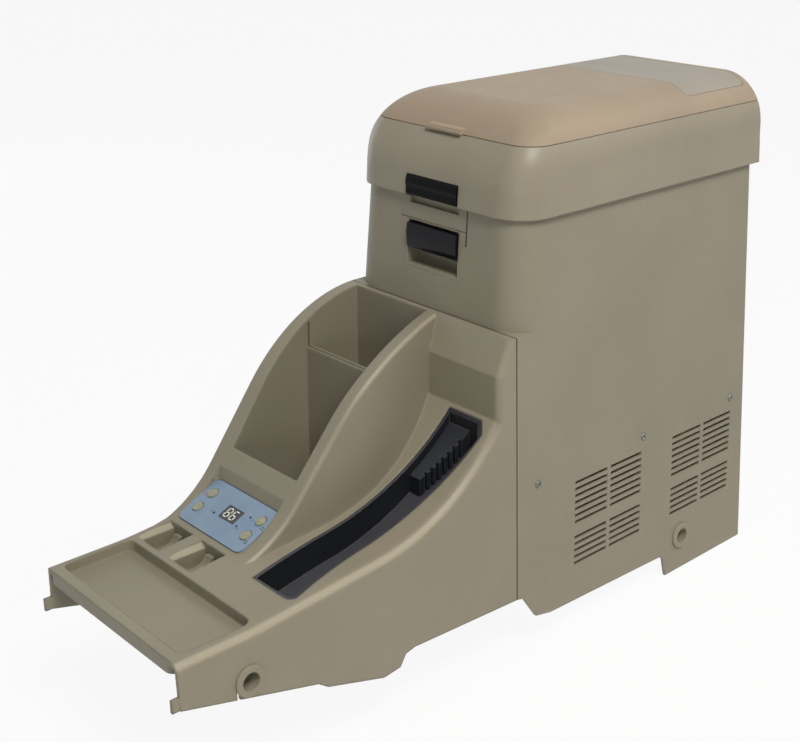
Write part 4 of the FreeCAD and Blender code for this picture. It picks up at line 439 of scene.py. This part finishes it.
def patches(name, points, body, finish, wrap=False):
    """One piece from a stack of grids, points[patch, row, column, xyz]: neighbours make quads, the columns
    close on themselves where wrap is set, and points that fall together, as at a pole, are merged."""
    count, rows, columns = points.shape[:3]
    index = np.arange(count * rows * columns).reshape(count, rows, columns)
    if wrap:
        index = np.concatenate([index, index[:, :, :1]], axis=2)
    corners = [index[:, :-1, :-1], index[:, :-1, 1:], index[:, 1:, 1:], index[:, 1:, :-1]]
    quads = np.stack(corners, axis=-1).reshape(-1, 4)
    mesh = bpy.data.meshes.new(name)
    mesh.from_pydata(points.reshape(-1, 3).tolist(), [], quads.tolist())
    shape = bmesh.new()
    shape.from_mesh(mesh)
    bmesh.ops.remove_doubles(shape, verts=shape.verts, dist=MERGE_WITHIN)
    shape.to_mesh(mesh)
    shape.free()
    mesh.shade_smooth()
    mesh.set_sharp_from_angle(angle=SHARP_ANGLE)
    mesh.materials.append(finish)
    piece = bpy.data.objects.new(name, mesh)
    bpy.context.collection.objects.link(piece)
    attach(piece, body)
    return piece


# The control panel's plane
PANEL_TILT = math.radians(24.5)
ACROSS = np.array([1.0, 0.0, 0.0])
UPHILL = np.array([0.0, math.cos(PANEL_TILT), math.sin(PANEL_TILT)])
OUTWARD = np.array([0.0, -math.sin(PANEL_TILT), math.cos(PANEL_TILT)])


def face_of(node):
    """Middle of a panel piece's outer face: half way along its two spans on the tilted plane, at its highest
    level."""
    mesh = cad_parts[node].data
    corners = np.zeros(len(mesh.vertices) * 3)
    mesh.vertices.foreach_get("co", corners)
    seen = corners.reshape(-1, 3) @ np.stack([ACROSS, UPHILL, OUTWARD], axis=1)
    middle = (seen.min(axis=0) + seen.max(axis=0)) / 2
    return middle[0] * ACROSS + middle[1] * UPHILL + seen[:, 2].max() * OUTWARD


# Steps along an ink line and across it. What lies past RIM is sunk below the face.
ALONG_STEPS = np.array([0.0, 0.02, 0.1, 0.25, 0.5, 0.75, 0.9, 0.98, 1.0])
OVER_STEPS = np.array([-1.0, -0.9, 0.0, 0.9, 1.0])
ARC_STEPS = np.linspace(0, 1, 33)
RIM = 0.95
POINT = 0.02


def strokes(ends, half, height, face):
    """Raised ink strokes on a tilted face: along a stroke s runs from 0 to 1 and its width comes in to a point
    over the last half width at each end; across it t runs from -1 to 1 and the height falls below the face at
    both rims. ends[stroke, first or last, across or uphill] are in metres from the middle of the face."""
    first, last = ends[:, None, None, 0], ends[:, None, None, 1]
    run = last - first
    length = np.linalg.norm(run, axis=-1, keepdims=True)
    side = np.stack([-run[..., 1], run[..., 0]], axis=-1) / length
    s = ALONG_STEPS[None, :, None, None]
    t = OVER_STEPS[None, None, :, None]
    width = half * np.clip(np.minimum(s, 1 - s) * length / half, POINT, 1.0)
    flat = first + run * s + side * t * width
    rise = np.broadcast_to(np.where(np.abs(t) > RIM, -height, height), flat.shape[:-1] + (1,))
    return face + flat[..., :1] * ACROSS + flat[..., 1:] * UPHILL + rise * OUTWARD


def arcs(middles, radius, start, sweep, half, height, face):
    """Raised ink arcs on a tilted face: an angle in degrees runs from start through the sweep at the given
    radius, and across the line the height falls below the face at both rims."""
    turn = np.radians(start + sweep * ARC_STEPS)[None, :, None]
    over = OVER_STEPS[::-1][None, None, :]
    reach = radius + half * over
    x = middles[:, 0, None, None] + reach * np.cos(turn)
    y = middles[:, 1, None, None] + reach * np.sin(turn)
    rise = np.where(np.abs(over) > RIM, -height, height) + 0 * x
    return face + x[..., None] * ACROSS + y[..., None] * UPHILL + rise[..., None] * OUTWARD


# Bars of a figure, in the order top, upper right, lower right, bottom, lower left, upper left, middle, from
# corner to corner of a figure one unit wide and two high
FIGURE_BARS = np.array([[[0, 2], [1, 2]], [[1, 2], [1, 1]], [[1, 1], [1, 0]], [[0, 0], [1, 0]],
                        [[0, 1], [0, 0]], [[0, 2], [0, 1]], [[0, 1], [1, 1]]], dtype=float)
LIT_BARS = {"8": [0, 1, 2, 3, 4, 5, 6], "6": [0, 2, 3, 4, 5, 6]}
BAR_SHARE = 0.9


def shown_figures(text, width, height, pitch, lean):
    """Ends of the lit bars of each figure, drawn in a little from the corners, sheared by the lean and
    centred."""
    ends = np.concatenate([FIGURE_BARS[LIT_BARS[mark]] + np.array([number * pitch / width, 0.0])
                           for number, mark in enumerate(text)])
    middle = ends.mean(axis=1, keepdims=True)
    ends = middle + (ends - middle) * BAR_SHARE
    ends = ends * np.array([width, height / 2])
    ends[..., 0] += lean * ends[..., 1]
    spread = np.array([width + pitch * (len(text) - 1) + lean * height, height])
    return ends - spread / 2


# The print on the panel, across and uphill from the middle of its film or window
FIGURES = {"text": "86", "width": 0.0052, "height": 0.0098, "pitch": 0.0084, "lean": 0.1}
FIGURE_HALF, FIGURE_RISE = 0.00072, 0.00005
MARK_HALF, SIGN_HALF, INK_RISE = 0.00042, 0.00034, 0.00003
ARROW_LINE = 0.0014 * np.array([[-1.0, -0.6], [0.0, 0.8], [1.0, -0.6]])
ARROW_SPOTS = np.array([[0.0445, 0.0062], [0.0428, -0.0124]])
ARROW_WAYS = np.array([[1.0, 1.0], [1.0, -1.0]])
BAR_SPOTS = np.array([[0.0445, 0.0042], [0.0428, -0.0146]])
BAR_REACH = np.array([0.0023, 0.0])
TICK_SPOTS = np.array([[-0.0190, -0.0052], [0.0278, 0.0074], [0.0222, -0.0066]])
TICK_REACH = np.array([0.0, 0.0011])
POWER_SPOT = np.array([[-0.0432, 0.0065]])
POWER_RADIUS, POWER_START, POWER_SWEEP = 0.0017, 125, 290
POWER_STEM = np.array([[[0.0, 0.0006], [0.0, 0.0026]]])


def panel_print():
    """What is printed on the panel and lit in its window: two figures, arrows over bars at the keys on the
    right, a power sign at the keys on the left and short ticks by the lamps."""
    film, window = face_of("control_panel"), face_of("display_window")
    figures = strokes(shown_figures(**FIGURES), FIGURE_HALF, FIGURE_RISE, window)
    patches("display_figures", figures, "console", FIGURE_INK)
    arrow = np.stack([ARROW_LINE[:-1], ARROW_LINE[1:]], axis=1)
    arrows = (arrow[None] * ARROW_WAYS[:, None, None] + ARROW_SPOTS[:, None, None]).reshape(-1, 2, 2)
    bars = np.stack([BAR_SPOTS - BAR_REACH, BAR_SPOTS + BAR_REACH], axis=1)
    ticks = np.stack([TICK_SPOTS - TICK_REACH, TICK_SPOTS + TICK_REACH], axis=1)
    marks = strokes(np.concatenate([arrows, bars, ticks]), MARK_HALF, INK_RISE, film)
    patches("panel_marks", marks, "console", DARK_INK)
    ring = arcs(POWER_SPOT, POWER_RADIUS, POWER_START, POWER_SWEEP, SIGN_HALF, INK_RISE, film)
    patches("power_sign_ring", ring, "console", RED_INK)
    stem = strokes(POWER_SPOT[:, None] + POWER_STEM, SIGN_HALF, INK_RISE, film)
    patches("power_sign_stem", stem, "console", RED_INK)


# The casing's screws: three on each side, on walls that lean in by WALL_SLOPE
WALL_SLOPE = 0.0468
SCREW_ROW = np.array([0.03356, 0.19138, 0.34096])
SCREW_REACH, SCREW_LEVEL = 0.119787, 0.176
SCREW_TWISTS = np.array([0.3, 1.1, 0.7, 0.2, 0.9, 1.3])
HEAD_RADIUS, HEAD_RISE = 0.004, 0.0016
HEAD_RINGS, HEAD_SPOKES = 22, 60
# The cross recess: its depth, and in shares of the head's radius its half width, length and the slopes of both
CROSS_DEPTH = 0.0011
CROSS_HALF, CROSS_SIDE, CROSS_REACH, CROSS_END = 0.17, 0.08, 0.66, 0.1


def screw_heads():
    """Pan-head screws with a cross recess, in place of the plain ones of the casing. A radius r from 0 to 1 and
    an angle make a flat dome, the square root of 1 minus r to the sixth; the cross sinks where either of its
    two axes is near and fades out before the rim. The heads sit square on the leaning side walls."""
    lean = math.atan(WALL_SLOPE)
    hand = np.repeat([-1.0, 1.0], len(SCREW_ROW))
    even = np.ones_like(hand)
    spots = np.stack([hand * SCREW_REACH, np.tile(SCREW_ROW, 2), even * SCREW_LEVEL], axis=1)
    out = np.stack([hand * math.cos(lean), even * 0, even * math.sin(lean)], axis=1)
    back = np.stack([even * 0, even, even * 0], axis=1)
    up = np.cross(out, back)
    r = np.linspace(0, 1, HEAD_RINGS)[None, :, None]
    angle = np.linspace(0, 2 * math.pi, HEAD_SPOKES, endpoint=False)[None, None, :]
    turned = angle + SCREW_TWISTS[:, None, None]
    near = np.minimum(np.abs(r * np.cos(turned)), np.abs(r * np.sin(turned)))
    cross = np.clip((CROSS_HALF - near) / CROSS_SIDE, 0, 1) * np.clip((CROSS_REACH - r) / CROSS_END, 0, 1)
    level = HEAD_RISE * np.sqrt(1 - r**6) - CROSS_DEPTH * cross
    wide = HEAD_RADIUS * r
    places = (spots[:, None, None] + (wide * np.cos(angle) + 0 * level)[..., None] * back[:, None, None]
              + (wide * np.sin(angle) + 0 * level)[..., None] * up[:, None, None]
              + level[..., None] * out[:, None, None])
    heads = patches("screw_heads", places, "console", SCREW_STEEL, wrap=True)
    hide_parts("casing_screws")


def lamp(name, place, aim, side, watts, colour):
    """A square soft box at a place, turned to the point that it lights."""
    data = bpy.data.lights.new(name, "AREA")
    data.shape = "SQUARE"
    data.size = side
    data.energy = watts
    data.color = colour
    holder = bpy.data.objects.new(name, data)
    bpy.context.collection.objects.link(holder)
    step = np.array(aim) - np.array(place)
    flat = math.hypot(step[0], step[1])
    holder.location = place
    holder.rotation_euler = (math.atan2(flat, -step[2]), 0, math.atan2(-step[0], step[1]))


# Each soft box's name, place, aim, side, watts and colour
LAMPS = [
    ("key", (1.45, -0.6, 2.4), (0, 0.05, 0.3), 0.9, 50, (1.0, 0.97, 0.92)),
    ("rim", (0.95, 1.7, 2.1), (0, 0.05, 0.3), 0.9, 15, (1.0, 0.96, 0.91)),
    ("low", (1.5, -1.7, 0.5), (0, 0, 0.3), 0.4, 4, (0.95, 1.0, 0.96)),
    ("left", (-2.4, -0.1, 0.5), (0, 0.1, 0.35), 1.2, 8, (1.0, 1.0, 1.0)),
]
# The sky's strength as light and as it is seen, and how much of the seen floor is plain white
SKY_LIGHT, SKY_SEEN = 0.12, 0.97
SKY_TINT = (0.97, 1.0, 0.985, 1)
WHITE = (1, 1, 1, 1)
FLOOR_WHITE = 0.92
FLOOR_TINTS = (0.80, 0.80, 0.80, 1), (0.84, 0.84, 0.84, 1)
FLOOR_REACH, FLOOR_DROP = 30.0, 0.0002


def pale_paper():
    """The floor's finish: pale paper that keeps the shadow, whitened where it is seen."""
    finish = Finish("pale_floor")
    tint = finish.blend(finish.noise(3), *FLOOR_TINTS)
    finish.wear(Base_Color=tint, Roughness=0.9, Specular_IOR_Level=0.1)
    white = finish.node("ShaderNodeEmission", {}, {"Color": WHITE, "Strength": 1.0})
    paper = Wire(finish, finish.shader.outputs[0])
    both = finish.node("ShaderNodeMixShader", {}, {0: finish.shown() * FLOOR_WHITE, 1: paper, 2: white})
    finish.feed(finish.out.inputs[0], both)
    return finish.material


def studio():
    """A pale floor, a plain sky, and four soft boxes: a high key on the lever side, one behind it that runs
    along the rounded edges, a low one by the near corner and a weak one on the far side."""
    low = float(cad_box[0][2]) - FLOOR_DROP
    rim = FLOOR_REACH
    mesh = bpy.data.meshes.new("floor")
    corners = [(-rim, -rim, low), (rim, -rim, low), (rim, rim, low), (-rim, rim, low)]
    mesh.from_pydata(corners, [], [(0, 1, 2, 3)])
    mesh.materials.append(pale_paper())
    floor = bpy.data.objects.new("floor", mesh)
    bpy.context.collection.objects.link(floor)
    sky = Finish("plain_sky", "worlds", "Background", "OutputWorld")
    strength = SKY_LIGHT + sky.shown() * (SKY_SEEN - SKY_LIGHT)
    bpy.context.scene.world = sky.wear(Color=SKY_TINT, Strength=strength)
    for box in LAMPS:
        lamp(*box)
    bpy.context.scene.view_settings.view_transform = "Standard"


# The camera where the picture was taken: 47.7 degrees round to the lever side, looking down by 22 degrees
CAMERA_PLACE = (0.8634, -0.8177, 0.7443)
CAMERA_TURN = (math.radians(67.99), 0, math.radians(47.73))
CAMERA_LENS, CAMERA_FILM = 60.13, 36
CAMERA_FAR = 100


def photo_camera():
    """Sets up the picture's camera."""
    data = bpy.data.cameras.new("camera")
    data.sensor_fit = "HORIZONTAL"
    data.sensor_width = CAMERA_FILM
    data.lens = CAMERA_LENS
    data.clip_end = CAMERA_FAR
    camera = bpy.data.objects.new("camera", data)
    bpy.context.collection.objects.link(camera)
    camera.location = CAMERA_PLACE
    camera.rotation_euler = CAMERA_TURN
    bpy.context.scene.camera = camera


for every_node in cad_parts:
    dress(every_node)
panel_print()
screw_heads()
studio()
photo_camera()
